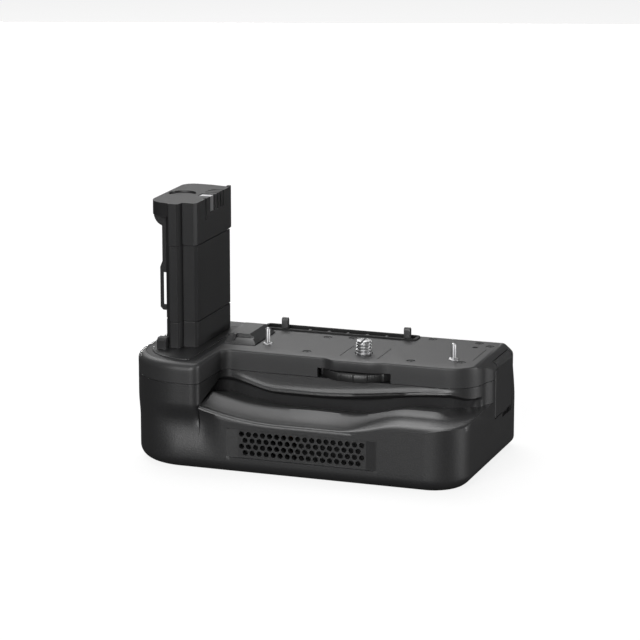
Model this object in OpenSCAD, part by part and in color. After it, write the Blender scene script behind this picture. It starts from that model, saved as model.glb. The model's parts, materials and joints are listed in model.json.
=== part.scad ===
// Camera battery grip with a cooling fan, in millimetres.
// The origin is on the camera screw's axis, at the deck's top face. +X runs to the right seen
// from the front, +Y to the back and +Z up into the camera.

/* [Body] */
// Left end of the handgrip, from the screw axis
grip_left = 88; // [86:0.5:92]
// Right end of the body, from the screw axis
body_right = 52; // [51:0.5:56]
// Back edge of the deck, from the screw axis
deck_back = 35; // [34:0.5:38]
// How far the lower back stands out behind the deck
back_swell = 3; // [2.5:0.25:3.5]
// Front wall of the deck, from the screw axis
deck_front = 12.5; // [12:0.25:14]
// Front of the handgrip, from the screw axis
grip_front = 40; // [39:0.5:43]
// Front face of the base, from the screw axis
base_front = 39.5; // [38.5:0.5:42]
// Right side of the handgrip, left of the screw axis
grip_side = 55.5; // [54:0.5:57]
// Height of the body below the deck
body_h = 43; // [41:0.5:45]
// Depth of the seam between cover and base
seam_depth = 8.2; // [7.8:0.1:8.4]
// Wall of both shells
wall = 2; // [1.6:0.1:2.4]
// Right end wall, which carries the port cover
end_wall = 4.5; // [4.3:0.1:4.7]
// Deck plate
deck_t = 2; // [1.8:0.1:2.2]

/* [Body corners] */
// Plan radius of the handgrip's front-left corner
grip_corner_r = 23.5; // [18:0.5:26]
// Plan radius of the handgrip's front-right edge
grip_edge_r = 3.5; // [2.5:0.5:5]
// Plan fillet where the handgrip meets the deck's front wall
inner_fillet_r = 4; // [3:0.5:6]
// Plan radius of the deck's front-right corner
deck_corner_r = 17.5; // [15:0.5:18]
// Right limit of that corner, from the screw axis
corner_right = 49.8; // [49:0.1:50]
// Shoulder between that corner and the right end, behind the screw axis
shoulder_y = 6.5; // [6:0.1:6.6]
// Width of the slope along the deck's right edge
slope_w = 4.4; // [4:0.1:4.6]
// Drop of that slope
slope_h = 3.1; // [2.8:0.1:3.3]
// Plan radius of the base's front-right corner
base_corner_r = 15; // [10:0.5:16]
// Plan radius of the back corners
back_corner_r = 2; // [1.5:0.1:2.5]
// Rounding along the bottom edge
foot_r = 5; // [3:0.25:5]

/* [Finger groove] */
// Height of a body for which the six heights below are given, and with which they scale
drawn_h = 43; // [42:0.5:44]
// Lip of the groove below the deck, at its lowest
roof_mid = 15; // [14:0.25:16]
// Rise of the lip towards the handgrip
roof_left = 4.1; // [3:0.1:5]
// Rise of the lip towards the right end
roof_right = 5.7; // [4:0.1:5.8]
// Ledge below the deck, at its lowest
ledge_mid = 21.7; // [21:0.1:22.5]
// Rise of the ledge towards the handgrip
ledge_left = 4.7; // [3:0.1:5.5]
// Rise of the ledge towards the right end
ledge_right = 4.8; // [3:0.1:5.5]
// Depth of the undercut behind the lip
groove_d = 2.2; // [1.6:0.1:2.4]
// How far the lip stands out
lip = 0.6; // [0.2:0.1:1]
// Height of the crown of the ledge
ledge_crown = 0.5; // [0:0.1:1]
// Depth of the hollow at the foot of the handgrip
dent_d = 2.2; // [0:0.2:3]

/* [Vent] */
// Holes in a long row
vent_cols = 18; // [12:1:18]
// Rows of holes
vent_rows = 4; // [2:1:4]
// Distance between holes in a row
vent_pitch = 2.92; // [2.7:0.02:3]
// Distance between rows
vent_row_pitch = 2.5; // [2.3:0.05:2.6]
// Hole radius
vent_hole_r = 1.08; // [0.8:0.02:1.15]
// Middle of the vent, from the screw axis
vent_x = -12.6; // [-14:0.2:-11]
// Middle of the vent, below the ledge
vent_drop = 8.7; // [8.4:0.1:9.2]
// Depth of the recess round the vent
vent_recess = 0.9; // [0.5:0.1:1.1]

/* [Camera screw] */
// Radius of the camera screw
screw_r = 3.175; // [3:0.005:4.8]
// Height of the camera screw above the deck
screw_h = 5.4; // [4.5:0.1:6.5]
// Radius of the lock wheel
wheel_r = 17.5; // [17:0.1:18]
// Width of the lock wheel's rim
wheel_t = 3.3; // [2.6:0.1:3.4]
// Teeth on the lock wheel
wheel_teeth = 9; // [8:1:14]
// Turn of the wheel's first tooth from the front, in degrees
tooth_turn = 14; // [0:1:20]
// How far the deck bulges over the wheel
bulge_d = 2.4; // [1:0.1:3]
// Radius of the guide pins
pin_r = 0.95; // [0.8:0.05:1.2]
// Height of the guide pins above the deck
pin_h = 6.7; // [5:0.1:8]
// Left guide pin, from the screw axis
pin_left = 41.3; // [39:0.1:43]
// Right guide pin, from the screw axis
pin_right = 36.7; // [34:0.1:38]
// Guide pins behind the screw axis
pin_y = 1.7; // [0:0.1:4]

/* [Column] */
// Right face of the column, left of the screw axis
col_right = 64.6; // [63:0.1:65]
// Left face of the sleeve, left of the screw axis
col_left = 78.8; // [78:0.1:79.4]
// Front face of the sleeve, from the screw axis
col_front = 16.3; // [15:0.1:17]
// Back face of the sleeve, from the screw axis
col_back = 20.3; // [19:0.1:21]
// How far the front rib stands out
col_rib = 3.6; // [2:0.1:4]
// Top of the platform
platform_h = 0.5; // [0.3:0.1:1]
// How deep the platform sits in the deck
platform_sink = 1; // [0.6:0.1:1.2]
// Distance from the handgrip's outline to the platform
plat_inset = 3.1; // [2.6:0.1:3.6]
// Seam between foot and sleeve
foot_top = 11.3; // [9:0.1:13]
// Seam between sleeve and head
sleeve_top = 41.8; // [40:0.1:44]
// Top of the head
head_top = 59.2; // [57:0.1:61]

/* [Air intake] */
// Left end of the intake strip, from the screw axis
strip_left = 52.6; // [51:0.1:53]
// Right end of the intake strip, from the screw axis
strip_right = 13.5; // [12:0.1:15]
// Front edge of the intake strip, from the screw axis
strip_front = 25; // [24.5:0.1:25.5]
// Width of the intake strip
strip_w = 7.8; // [7:0.1:8]
// Windows in the intake strip
strip_windows = 6; // [4:1:7]
// Height of the posts above the deck
post_h = 5; // [4:0.1:6]
// How far the strip's rim stands above the deck
strip_rise = 0.7; // [0.2:0.1:1]
// Distance from the strip's ends to the posts
post_inset = 4.2; // [3:0.1:6]

/* [Blower] */
// Middle of the blower, from the screw axis
fan_x = -41; // [-42:0.5:-40.5]
// Middle of the blower, behind the screw axis
fan_y = 7; // [6:0.5:9]
// Radius of the impeller
fan_r = 15.5; // [14:0.5:16]
// Blades on the impeller
fan_blades = 21; // [11:1:27]
// Outer wall of the blower and the ducts
duct_wall = 1.2; // [1:0.1:1.5]
// Radius of the fan shaft
fan_shaft_r = 1.5; // [1:0.1:2]

/* [Battery bay] */
// Length of the battery, along X
cell_l = 52.6; // [50:0.2:53]
// Depth of the battery, along Y
cell_w = 38.4; // [36:0.2:38.6]
// Height of the body that the battery doesn't take
over_cell = 20; // [19.8:0.1:23]
// Wall of the tray
tray_wall = 1.2; // [1:0.1:1.5]
// How far the tray's face stands out behind the back
face_out = 3.2; // [2.5:0.1:4]
// Radius of the latch knob, as a share of the battery's height
knob_share = 0.4; // [0.3:0.01:0.41]

/* [Network port] */
// Front edge of the port cover, behind the screw axis
cover_front = 8.6; // [8.5:0.1:9.2]
// Back edge of the port cover, behind the screw axis
cover_back = 32; // [31:0.1:32.2]
// Bottom edge of the port cover, below the deck
cover_low = 24.3; // [23:0.1:25]
// Thickness of the port cover
cover_t = 1.4; // [1.2:0.1:1.6]
// Width of the socket body
jack_w = 16; // [14:0.2:16.5]
// Depth of the socket body
jack_l = 15.5; // [13:0.5:17]

/* [Clearances] */
// Running clearance round a shaft
run_gap = 0.05; // [0.02:0.01:0.1]
// Clearance round a fixed insert
fit_gap = 0.1; // [0.05:0.01:0.2]
// Clearance round a moving piece
move_gap = 0.3; // [0.25:0.05:0.4]

/* [Hidden] */
$fn = 64;

// Colours
shell_grey = [0.16, 0.16, 0.17];
deck_grey = [0.24, 0.24, 0.25];
black = [0.07, 0.07, 0.07];
steel = [0.75, 0.76, 0.78];
brass = [0.72, 0.58, 0.30];
board_green = [0.10, 0.28, 0.16];

// Plan centres of the round corners
grip_cx = grip_corner_r - grip_left;
grip_cy = grip_corner_r - grip_front;
deck_cx = corner_right - deck_corner_r;
deck_cy = deck_corner_r - deck_front;
base_cx = body_right - base_corner_r;
base_cy = base_corner_r - base_front;
side_draft = 0.3;
ledge_roll = 1;
wall_stations = 18;
base_back = deck_back + back_swell;
floor_z = wall - body_h;
h_scale = body_h/drawn_h;
ceiling_z = -h_scale*ledge_mid - wall - 0.8;
ceiling_rise = h_scale*ledge_right;
groove_skin = 1.2;
inner_right = body_right - end_wall;
room_inset = wall + groove_d + groove_skin;
room_front = room_inset - deck_front;
room_back = deck_back - wall;
room_corner_x = deck_cx + deck_corner_r/2;
room_corner_y = deck_cy - 4;
rise_x = 28;

// Points of an arc, from angle a0 to a1
function arc(cx, cy, r, a0, a1, n) =
    [for (i = [0:n]) let (a = a0 + (a1 - a0)*i/n) [cx + r*cos(a), cy + r*sin(a)]];
function clamp01(t) = min(1, max(0, t));
function smooth(t) = let (u = clamp01(t)) u*u*(3 - 2*u);

// Shoulder in plan, from the deck's corner to the end face
shoulder = [
    [corner_right - 0.02, shoulder_y - 1.6], [corner_right + 0.3, shoulder_y - 0.6],
    [corner_right + 0.9, shoulder_y - 0.1], [body_right - 0.9, shoulder_y + 0.05],
    [body_right - 0.25, shoulder_y + 0.5], [body_right, shoulder_y + 1.4]
];

// Front of the upper body in plan, left to right, set in by d
function front_line(d = 0) = let (
        edge_r = max(grip_edge_r - d, 0.5),
        fillet_x = side_draft - grip_side + inner_fillet_r,
        fillet_y = -deck_front - inner_fillet_r,
        wall_x0 = fillet_x,
        wall_x1 = deck_cx
    ) concat(
        arc(grip_cx, grip_cy, grip_corner_r - d, 180, 270, 9),
        arc(-grip_side - d - edge_r, d + edge_r - grip_front, edge_r, 270, 360, 4),
        arc(fillet_x, fillet_y, inner_fillet_r + d, 180, 90, 4),
        [for (i = [1:wall_stations - 1])
            [wall_x0 + (wall_x1 - wall_x0)*i/wall_stations, d - deck_front]],
        arc(deck_cx, deck_cy, deck_corner_r - d, 270, 354, 8),
        [for (p = shoulder) [p[0] - d, p[1] + d]]
    );

// Closed outline of the upper body, set in by d at the front and by b at the back
function deck_outline(d = 0, b = 0) = let (r = max(back_corner_r - b, 0.5)) concat(
        front_line(d),
        arc(body_right - d - r, deck_back - b - r, r, 0, 90, 6),
        arc(d + r - grip_left, deck_back - b - r, r, 90, 180, 6)
    );

// Closed outline of the base, set in by d
function base_outline(d = 0) = let (r = max(back_corner_r - d, 0.5)) concat(
        arc(grip_cx, grip_cy, grip_corner_r - d - grip_front + base_front, 180, 270, 9),
        arc(base_cx, base_cy, base_corner_r - d, 270, 360, 9),
        arc(body_right - d - r, base_back - d - r, r, 0, 90, 6),
        arc(d + r - grip_left, base_back - d - r, r, 90, 180, 6)
    );

// Front edge of the upper room, which is cut across at the right end
function room_edge(x) = room_front
    + max(0, x - room_corner_x)*(room_corner_y - room_front)/(inner_right - room_corner_x);

// Wavy heights of the groove's lip and of its ledge
function roof_z(x) = h_scale*(-roof_mid + roof_left*smooth((-27 - x)/(grip_side - 27.5))
    + roof_right*smooth((x + 9)/36));
function ledge_z(x) = h_scale*(-ledge_mid + ledge_left*pow(clamp01((-22 - x)/(grip_side - 22.5)), 2)
    + ledge_right*smooth((x - 2)/26)) - ledge_roll*smooth((x + 4 - body_right)/4);
function end_fade(x) = smooth((corner_right - x)/12);

// Front face of the base, its back, and the rise of the rounded bottom edge at both ends
function base_y(x) = x < grip_cx
    ? grip_cy - sqrt(max(0, pow(base_front + grip_cy, 2) - pow(x - grip_cx, 2)))
    : x > base_cx
        ? base_cy - sqrt(max(0, pow(base_corner_r, 2) - pow(x - base_cx, 2)))
        : -base_front;
function past_end(x, r) = max(0, x - body_right + r, r - grip_left - x);
function back_y(x) = deck_back - back_corner_r
    + sqrt(max(0, pow(back_corner_r, 2) - pow(past_end(x, back_corner_r), 2)));
function foot_z(x) = foot_r - body_h - sqrt(max(0, pow(foot_r, 2) - pow(past_end(x, foot_r), 2)));

// Front profile with the groove and the ledge, from the seam down to the rim, as [y, z]
function groove_profile(x, yw) = let (
        fade = end_fade(x),
        zr = roof_z(x),
        zl = ledge_z(x),
        yl = base_y(x),
        middle = (zr + zl)/2,
        half = (zr - zl)/2,
        skirt = zr + seam_depth,
        shelf_y = yl + 3.4
    ) concat(
        [for (f = [0, 0.4, 0.75, 0.95]) [yw - lip*fade*smooth(f), f*skirt - seam_depth]],
        [for (a = [75:-25:-75]) [yw + groove_d*fade*cos(a), middle + half*sin(a)]],
        [for (t = [0.12, 0.35, 0.6, 0.82])
            [yw + (shelf_y - yw)*t, zl + ledge_crown*sin(180*t)]],
        [[shelf_y, zl - 0.35], [yl + 1.9, zl - 0.05], [yl + 1, zl + 0.05],
            [yl + 0.3, zl - 0.45], [yl, zl - 1.4]]
    );

// Front profile through the handgrip, with the same number of points
function grip_profile(x, yw) = let (
        yl = base_y(x),
        reach = smooth((x + grip_side + 24)/14),
        low = 27.5*h_scale
    ) [for (k = [0:19]) let (
            z = -seam_depth - (low - seam_depth)*k/19,
            blend = smooth((-z/h_scale - 17)/9.5),
            hollow = pow(sin(180*clamp01((-z/h_scale - 15)/12)), 2)
        ) [yw + (yl - yw)*blend + dent_d*reach*hollow, z]];

// One closed section of the base across X
function section(x, yw) = let (
        yl = base_y(x),
        yk = back_y(x),
        ykl = yk + back_swell,
        zb = foot_z(x),
        upper = x < 0.15 - grip_side ? grip_profile(x, yw) : groove_profile(x, yw),
        face_z = (upper[len(upper) - 1][1] + zb + foot_r)/2
    ) concat(
        upper,
        [[yl, face_z]],
        [for (a = [0:22.5:90]) [yl + foot_r*(1 - cos(a)), zb + foot_r*(1 - sin(a))]],
        [for (a = [0:22.5:90]) [ykl - foot_r*(1 - sin(a)), zb + foot_r*(1 - cos(a))]],
        [[ykl, -20], [yk, -seam_depth]]
    );

// Loft through sections that follow each other along X
module loft(stations) {
    sections = [for (s = stations) [for (p = section(s[0], s[1])) [s[0], p[0], p[1]]]];
    n = len(sections[0]);
    last = len(sections) - 1;
    points = [for (s = sections) each s];
    sides = [for (i = [0:last - 1]) for (j = [0:n - 1]) let (k = (j + 1) % n)
        each [[i*n + j, (i + 1)*n + j, (i + 1)*n + k], [i*n + j, (i + 1)*n + k, i*n + k]]];
    caps = [[for (j = [0:n - 1]) j], [for (j = [n - 1:-1:0]) last*n + j]];
    polyhedron(points = points, faces = concat(sides, caps), convexity = 10);
}

// A box from its low corner to its high corner
module box(low, high) {
    translate(low) cube(high - low);
}

// A plate with rounded corners, from its low corner to its high corner
module rounded_box(low, high, r) {
    box([low[0] + r, low[1], low[2]], [high[0] - r, high[1], high[2]]);
    box([low[0], low[1] + r, low[2]], [high[0], high[1] - r, high[2]]);
    for (x = [low[0] + r, high[0] - r], y = [low[1] + r, high[1] - r])
        translate([x, y, low[2]]) cylinder(r = r, h = high[2] - low[2]);
}

// Extrudes a profile drawn as [y, z] along X
module along_x(x0, x1) {
    translate([x0, 0, 0]) rotate([90, 0, 90]) linear_extrude(x1 - x0) children();
}

// Extrudes a profile drawn as [x, z] along Y
module along_y(y0, y1) {
    translate([0, y1, 0]) rotate([90, 0, 0]) linear_extrude(y1 - y0) children();
}

// Vent
vent_z = -h_scale*ledge_mid - vent_drop;
vent_w = (vent_cols - 1)*vent_pitch;
vent_h = (vent_rows - 1)*vent_row_pitch;
vent_edge = vent_hole_r + 0.5;
vent_x0 = vent_x - vent_w/2 - vent_edge;
vent_x1 = vent_x + vent_w/2 + vent_edge;
vent_z0 = vent_z - vent_h/2 - vent_edge;
vent_z1 = vent_z + vent_h/2 + vent_edge;
vent_ramp = 4.5;
vent_lead = 0.5;
grille_face = vent_recess - base_front;
grille_flange = 1;

// Camera screw and lock wheel
wheel_top = -seam_depth + move_gap + wheel_t;
slot_top = wheel_top + move_gap;
slot_half = sqrt(pow(wheel_r + 1, 2) - pow(deck_front - wall, 2));
plate_t = 1.2;
plate_top = -deck_t;
plate_low = plate_top - plate_t;
bush_r = screw_r + 1.6;
bush_flange_r = bush_r + 1.6;
bush_low = wheel_top + 0.2;
bracket_top = -9;
bracket_t = 1.2;
bracket_low = bracket_top - bracket_t;
journal_r = 2;
neck_d = 0.4;
neck_h = 0.5;
bracket_post = [wheel_r + 4, 8];
bracket_post_r = 2.2;
bracket_edge = bracket_post_r + 1.2;
ring_t = 0.6;
deck_screw_pts = [[-22.2, 20], [-12.1, 22.2], [-22.3, -4.8], [21.3, -5.6], [19, 30.8],
    [38.7, 30.4], [44.3, 26.8], [40.8, -1.4]];
deck_screw_r = 0.75;
deck_head_r = 1.5;
locating_hole = [38.9, 23.5, 1.2];

// Battery bay
bay_wall = 1;
cell_gap = 0.1;
cell_h = body_h - over_cell;
knob_r = knob_share*cell_h;
tray_right = room_corner_x + 0.7;
tray_l = cell_l + 2*(tray_wall + cell_gap);
tray_left = tray_right - tray_l;
tray_low = floor_z + move_gap;
tray_back = base_back + 0.2;
cell_low = tray_low + tray_wall;
cell_top = cell_low + cell_h;
tray_rail_top = cell_top - 1.5;
cam_t = 1.4;
cam_w = 4.4;
cam_hook = 2.4;
cam_back = base_back - wall - 0.25;
cell_back = cam_back - cam_t - move_gap - 0.05;
cell_front = cell_back - cell_w;
tray_front = cell_front - tray_wall;
bay_left = tray_left - move_gap - bay_wall;
bay_right = tray_right + move_gap + bay_wall;
bay_front = tray_front - move_gap - bay_wall;
bay_low_top = ceiling_z - move_gap;
window_left = tray_left - move_gap;
window_top = cell_top + 0.5;
board_t = 1.2;
board_low = window_top + 0.1;
board_top = board_low + board_t;
board_front = room_front + move_gap;
board_back = room_back - 0.5;
board_screw_pts = [[bay_left - 0.6, 18], [bay_left - 0.6, 27]];
board_boss_r = 1.7;
knob_x = tray_left + knob_r + 2;
cam_l = knob_x - window_left + cam_hook;
knob_z = cell_top - cam_l - 0.6;
knob_sink = 1.2;
latch_shaft_r = 2;
terminal_x = tray_left + tray_l/2;
terminal_half = 9;
terminal_z = (cell_low + bay_low_top)/2;

// Network port and its cover
slope_lip = [0.7, 1.4];
slope_x = body_right - slope_w;
slope_edge = [body_right - slope_lip[0], -slope_h];
slope_dir = (slope_edge - [slope_x, 0])/norm(slope_edge - [slope_x, 0]);
slope_out = [-slope_dir[1], slope_dir[0]];
cover_edge = [slope_x, 0] + 0.65*(slope_edge - [slope_x, 0]);
barrel_top = -slope_h - slope_lip[1] - 0.5;
hinge_r = 1.1;
hinge_x = body_right - hinge_r;
hinge_y = cover_front + hinge_r;
hinge_pin_r = 0.5;
jack_low = board_top;
jack_top = plate_low - 0.3;
jack_y = (cover_front + cover_back)/2 + 1.2;
jack_x1 = inner_right - 0.2 + 1;
jack_x0 = jack_x1 - jack_l;
notch_h = 1.9;
notch_y0 = cover_back - 13;

// Inside of the port cover's section as [x, z], from its bottom edge up, grown by g
function cover_inside(g = 0) = [
    [body_right - cover_t - g, -cover_low - g], [body_right - cover_t - g, barrel_top - 0.2],
    slope_edge - (cover_t + g)*slope_out, cover_edge - (cover_t + g)*slope_out - g*slope_dir
];

// Blower
scroll_r0 = fan_r + 3;
scroll_r1 = fan_r + 8.5;
blower_low = floor_z;
blower_top = ceiling_z - 1.4;
lid_t = 1;
inlet_r = fan_r - 4.5;
outlet_y = -27;
duct_top = bracket_low - 1.1;
duct_x0 = fan_x - 17;
duct_x1 = -bracket_post[0] - bracket_edge - 0.5;
duct_front = room_front + 0.3;
duct_back = room_back - 0.3;
mouth_x0 = -strip_left - 0.4;
mouth_x1 = strip_right + 0.8;
mouth_y0 = strip_front - 0.7;

// Underside
socket_at = [0, -17];
socket_r = 6.5;
socket_h = 7;
base_screw_pts = [[-78, -8], [-78, 26], [30, -31], [-56, -30]];
base_boss_r = 3.2;
base_boss_h = 7;
base_head_r = 2;

// Screw boss on the floor, held by two gussets
module base_boss() {
    gusset_l = base_boss_r + 3;
    difference() {
        union() {
            cylinder(r = base_boss_r, h = base_boss_h, $fn = 32);
            for (a = [0, 90]) rotate([0, 0, a]) hull() {
                translate([-0.6, -0.6, 0]) cube([1.2, 1.2, base_boss_h]);
                translate([-gusset_l, -0.6, 0]) cube([2*gusset_l, 1.2, 0.8]);
            }
        }
        translate([0, 0, -1]) cylinder(r = 1 + fit_gap, h = base_boss_h, $fn = 24);
    }
}

module lower_shell() {
    color(shell_grey) union() {
        difference() {
            loft(front_line());
            lower_rooms();
            vent_cuts();
            // Tray window, port window, cover recess and finger notch
            box([window_left, room_back - 1, floor_z],
                [tray_right + move_gap, base_back + 1, window_top]);
            port_cuts();
            box([body_right - 1.6, notch_y0, -cover_low - move_gap - notch_h],
                [body_right + 1, cover_back, -cover_low]);
            // Tripod socket and screws of the underside
            translate([socket_at[0], socket_at[1], -body_h - 1])
                cylinder(r = socket_r + fit_gap, h = wall + 2);
            for (p = base_screw_pts) translate([p[0], p[1], -body_h - 1]) {
                cylinder(r = base_head_r + 0.2, h = 1.8, $fn = 32);
                cylinder(r = 1 + fit_gap, h = wall + 2, $fn = 24);
            }
        }
        for (p = base_screw_pts) translate([p[0], p[1], floor_z]) base_boss();
    }
}

// Room under the ledge, higher where the ledge rises, the room above it and the latch's room
module lower_rooms() {
    intersection() {
        translate([0, 0, floor_z]) linear_extrude(ceiling_z + ceiling_rise - floor_z)
            polygon(base_outline(wall));
        union() {
            box([-grip_left, -grip_front, floor_z], [inner_right, base_back, ceiling_z]);
            box([rise_x, -grip_front, floor_z], [inner_right, 0, ceiling_z + ceiling_rise]);
        }
    }
    translate([0, 0, ceiling_z - 1]) linear_extrude(1 - ceiling_z) {
        polygon(deck_outline(room_inset, wall));
        polygon([[deck_cx - 2, room_front], [room_corner_x, room_front], [inner_right, room_corner_y],
            [inner_right, room_back], [deck_cx - 2, room_back]]);
    }
    box([window_left - cam_hook - 0.8, room_back - 5, ceiling_z - 1],
        [window_left + 1, base_back - wall, knob_z + 0.65*cam_l]);
}

// Recess of the vent with its ramped ends, and the grille's window
module vent_cuts() {
    translate([0, 0, vent_z0 - vent_lead]) linear_extrude(vent_z1 - vent_z0 + 2*vent_lead) polygon([
        [vent_x0 - vent_ramp, -base_front], [vent_x0, grille_face],
        [vent_x1, grille_face], [vent_x1 + vent_ramp, -base_front],
        [vent_x1 + vent_ramp, -base_front - 2], [vent_x0 - vent_ramp, -base_front - 2]
    ]);
    box([vent_x0 - fit_gap, -base_front, vent_z0 - fit_gap],
        [vent_x1 + fit_gap, 1 - base_front + wall, vent_z1 + fit_gap]);
}

// Window behind the port cover, the cover's recess and the bed of its hinge
module port_cuts() {
    box([inner_right - 1, jack_y - jack_w/2 - fit_gap, jack_low - fit_gap],
        [body_right, jack_y + jack_w/2 + fit_gap, jack_top + fit_gap]);
    along_y(hinge_y + hinge_r + 0.1, cover_back + move_gap) polygon(concat(cover_inside(move_gap), [
        cover_edge - move_gap*slope_dir + 2*slope_out, [body_right + 2, 0],
        [body_right + 2, -cover_low - move_gap]]));
    box([hinge_x - hinge_r - move_gap, cover_front - move_gap - 0.1, -cover_low - move_gap - 0.1],
        [body_right + 1, hinge_y + hinge_r + move_gap, barrel_top + move_gap]);
    translate([hinge_x, hinge_y, -cover_low - 1.5])
        cylinder(r = hinge_pin_r + run_gap, h = cover_low + barrel_top + 2.5);
}

// Swelling of the deck's front edge over the wheel
function bulge_y(x) = -deck_front - bulge_d*smooth((slot_half + 5 - abs(x))/6);

module top_cover() {
    color(deck_grey) difference() {
        union() {
            difference() {
                translate([0, 0, -seam_depth]) linear_extrude(seam_depth) polygon(deck_outline());
                intersection() {
                    translate([0, 0, -seam_depth - 1]) linear_extrude(seam_depth + 1 - deck_t)
                        polygon(deck_outline(wall, wall));
                    box([-grip_left, -grip_front, -body_h], [inner_right, base_back, 0]);
                }
            }
            translate([0, 0, slot_top]) linear_extrude(-slot_top) polygon(concat(
                [for (i = [-12:12]) let (x = (slot_half + 5)*i/12) [x, bulge_y(x)]],
                [[slot_half + 5, 1 - deck_front], [-slot_half - 5, 1 - deck_front]]
            ));
        }
        // Slope along the right edge
        along_y(-deck_front, base_back) polygon([[slope_x, 0], slope_edge,
            [body_right, -slope_h - slope_lip[1]], [body_right + 1, -slope_h - slope_lip[1]],
            [body_right + 1, 1], [slope_x, 1]]);
        // Wheel slot, screw and pin holes, screw recesses
        box([-slot_half, -deck_front - 5, -seam_depth - 1], [slot_half, 1 + wall - deck_front, slot_top]);
        translate([0, 0, -deck_t - 1]) cylinder(r = screw_r + 0.4, h = deck_t + 2);
        for (x = [-pin_left, pin_right]) translate([x, pin_y, -deck_t - 1])
            cylinder(r = pin_r + fit_gap, h = deck_t + 2);
        for (p = deck_screw_pts) translate([p[0], p[1], -deck_t - 1]) {
            cylinder(r = deck_screw_r + fit_gap, h = deck_t + 2);
            translate([0, 0, deck_t + 0.1]) cylinder(r = deck_head_r + 0.2, h = 1);
        }
        translate([locating_hole[0], locating_hole[1], -1]) cylinder(r = locating_hole[2], h = 2);
        // Opening for the intake strip, and the lead's way into the column
        rounded_box([-strip_left - fit_gap, strip_front - fit_gap, -deck_t - 1],
            [strip_right + fit_gap, strip_front + strip_w + fit_gap, 1], 2);
        box([flex_x - 1, flex_y - flex_w/2 - 1, -deck_t - 1], [flex_x + 2, flex_y + flex_w/2 + 1, 1]);
        translate([0, 0, -platform_sink]) linear_extrude(platform_sink + 1) polygon(plat_plan(-fit_gap));
        port_cuts();
    }
}

module vent_grille() {
    color(shell_grey) difference() {
        union() {
            box([vent_x0, grille_face, vent_z0], [vent_x1, 0.8 + wall - base_front, vent_z1]);
            box([vent_x0 - grille_flange, wall - base_front, vent_z0 - grille_flange],
                [vent_x1 + grille_flange, 0.8 + wall - base_front, vent_z1]);
        }
        for (row = [0:vent_rows - 1]) let (odd = row % 2)
            for (col = [0:vent_cols - 1 - odd])
                translate([vent_x - vent_w/2 + (col + odd/2)*vent_pitch, -base_front,
                    vent_z + vent_h/2 - row*vent_row_pitch])
                    rotate([-90, 0, 0]) cylinder(r = vent_hole_r, h = wall + 2, $fn = 24);
    }
}

// Column
flex_x = -col_right - 7.5;
flex_y = 0;
flex_w = 8;
flex_t = 0.4;
core_low = [-col_left + 2.2, -col_front + 4];
core_high = [-col_right - 2, col_back - 3];

// Section of the column, grown outwards by d at the front and back and set in by s at the sides
function column_outline(d = 0, s = 0) = [
    [-col_right - s, 1 - col_front], [-col_right - 1, -col_front - d],
    [-col_right - 5.8, -col_front - d], [-col_right - 6.4, 0.5 - col_front - col_rib - d],
    [-col_right - 6.9, -col_front - col_rib - d], [-col_right - 10.2, -col_front - col_rib - d],
    [-col_right - 10.7, 0.5 - col_front - col_rib - d], [-col_right - 11, -col_front - 0.4],
    [s - col_left, 2.8 - col_front], [s - col_left, col_back - 3],
    [3 - col_left, col_back + d], [-col_right - s, col_back + d]
];
seam_gap = 0.4;
loop_y = 3 - col_front;
loop_t = 1;

// Outline of the head's overhanging top
head_left = col_left + 5.7;
head_front = col_front + 3.5;
head_back = col_back + 2.2;
function head_outline() = concat(
    arc(8 - head_left, 8.6 - head_front, 8, 180, 262, 8),
    [[-col_right - 10.2, -head_front], [-col_right - 10.2, -col_front - col_rib - 0.5],
        [-col_right - 6.9, -col_front - col_rib - 0.5], [-col_right - 5.8, -col_front - 0.5],
        [-col_right - 1, -col_front - 0.5], [-col_right, 1 - col_front]],
    [[-col_right, col_back + 0.5], [-col_right - 9, head_back]],
    arc(5 - head_left, head_back - 5, 5, 90, 180, 6)
);

// Plan of the platform, set in by d
plat_back = 24.5;
function plat_plan(d) = let(
    left = grip_left - plat_inset,
    front = grip_front - plat_inset,
    right = grip_side + plat_inset,
    r = grip_corner_r - plat_inset
) concat(
    arc(r - left, r - front, r - d, 180, 270, 12),
    arc(-right - 4, 4 - front, 4 - d, 270, 360, 4),
    arc(-right - 3, plat_back - 3, 3 - d, 0, 90, 4),
    arc(3 - left, plat_back - 3, 3 - d, 90, 180, 4)
);

module column_platform() {
    color(black) difference() {
        union() {
            translate([0, 0, -platform_sink]) linear_extrude(platform_sink) polygon(plat_plan(0));
            translate([0, 0, -platform_sink/2]) linear_extrude(platform_sink/2 + platform_h)
                polygon(plat_plan(2.6));
            // Keying block beside the foot
            along_x(-col_left - 0.6, -col_right - 10.9) polygon([
                [-col_front - 6.6, 0], [-col_front - 2.8, 0],
                [-col_front - 2.8, platform_h + 4.6], [-col_front - 5.4, platform_h + 4.6],
                [-col_front - 6.6, platform_h + 3.6]
            ]);
        }
        box([flex_x - 1, flex_y - flex_w/2 - 1, -platform_sink - 1],
            [flex_x + 2, flex_y + flex_w/2 + 1, platform_h + 1]);
    }
}

module column_foot() {
    color(black) difference() {
        translate([0, 0, platform_h]) linear_extrude(foot_top - seam_gap - platform_h)
            polygon(column_outline());
        box([core_low[0], core_low[1], 0], [core_high[0], core_high[1], foot_top]);
    }
}

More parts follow.
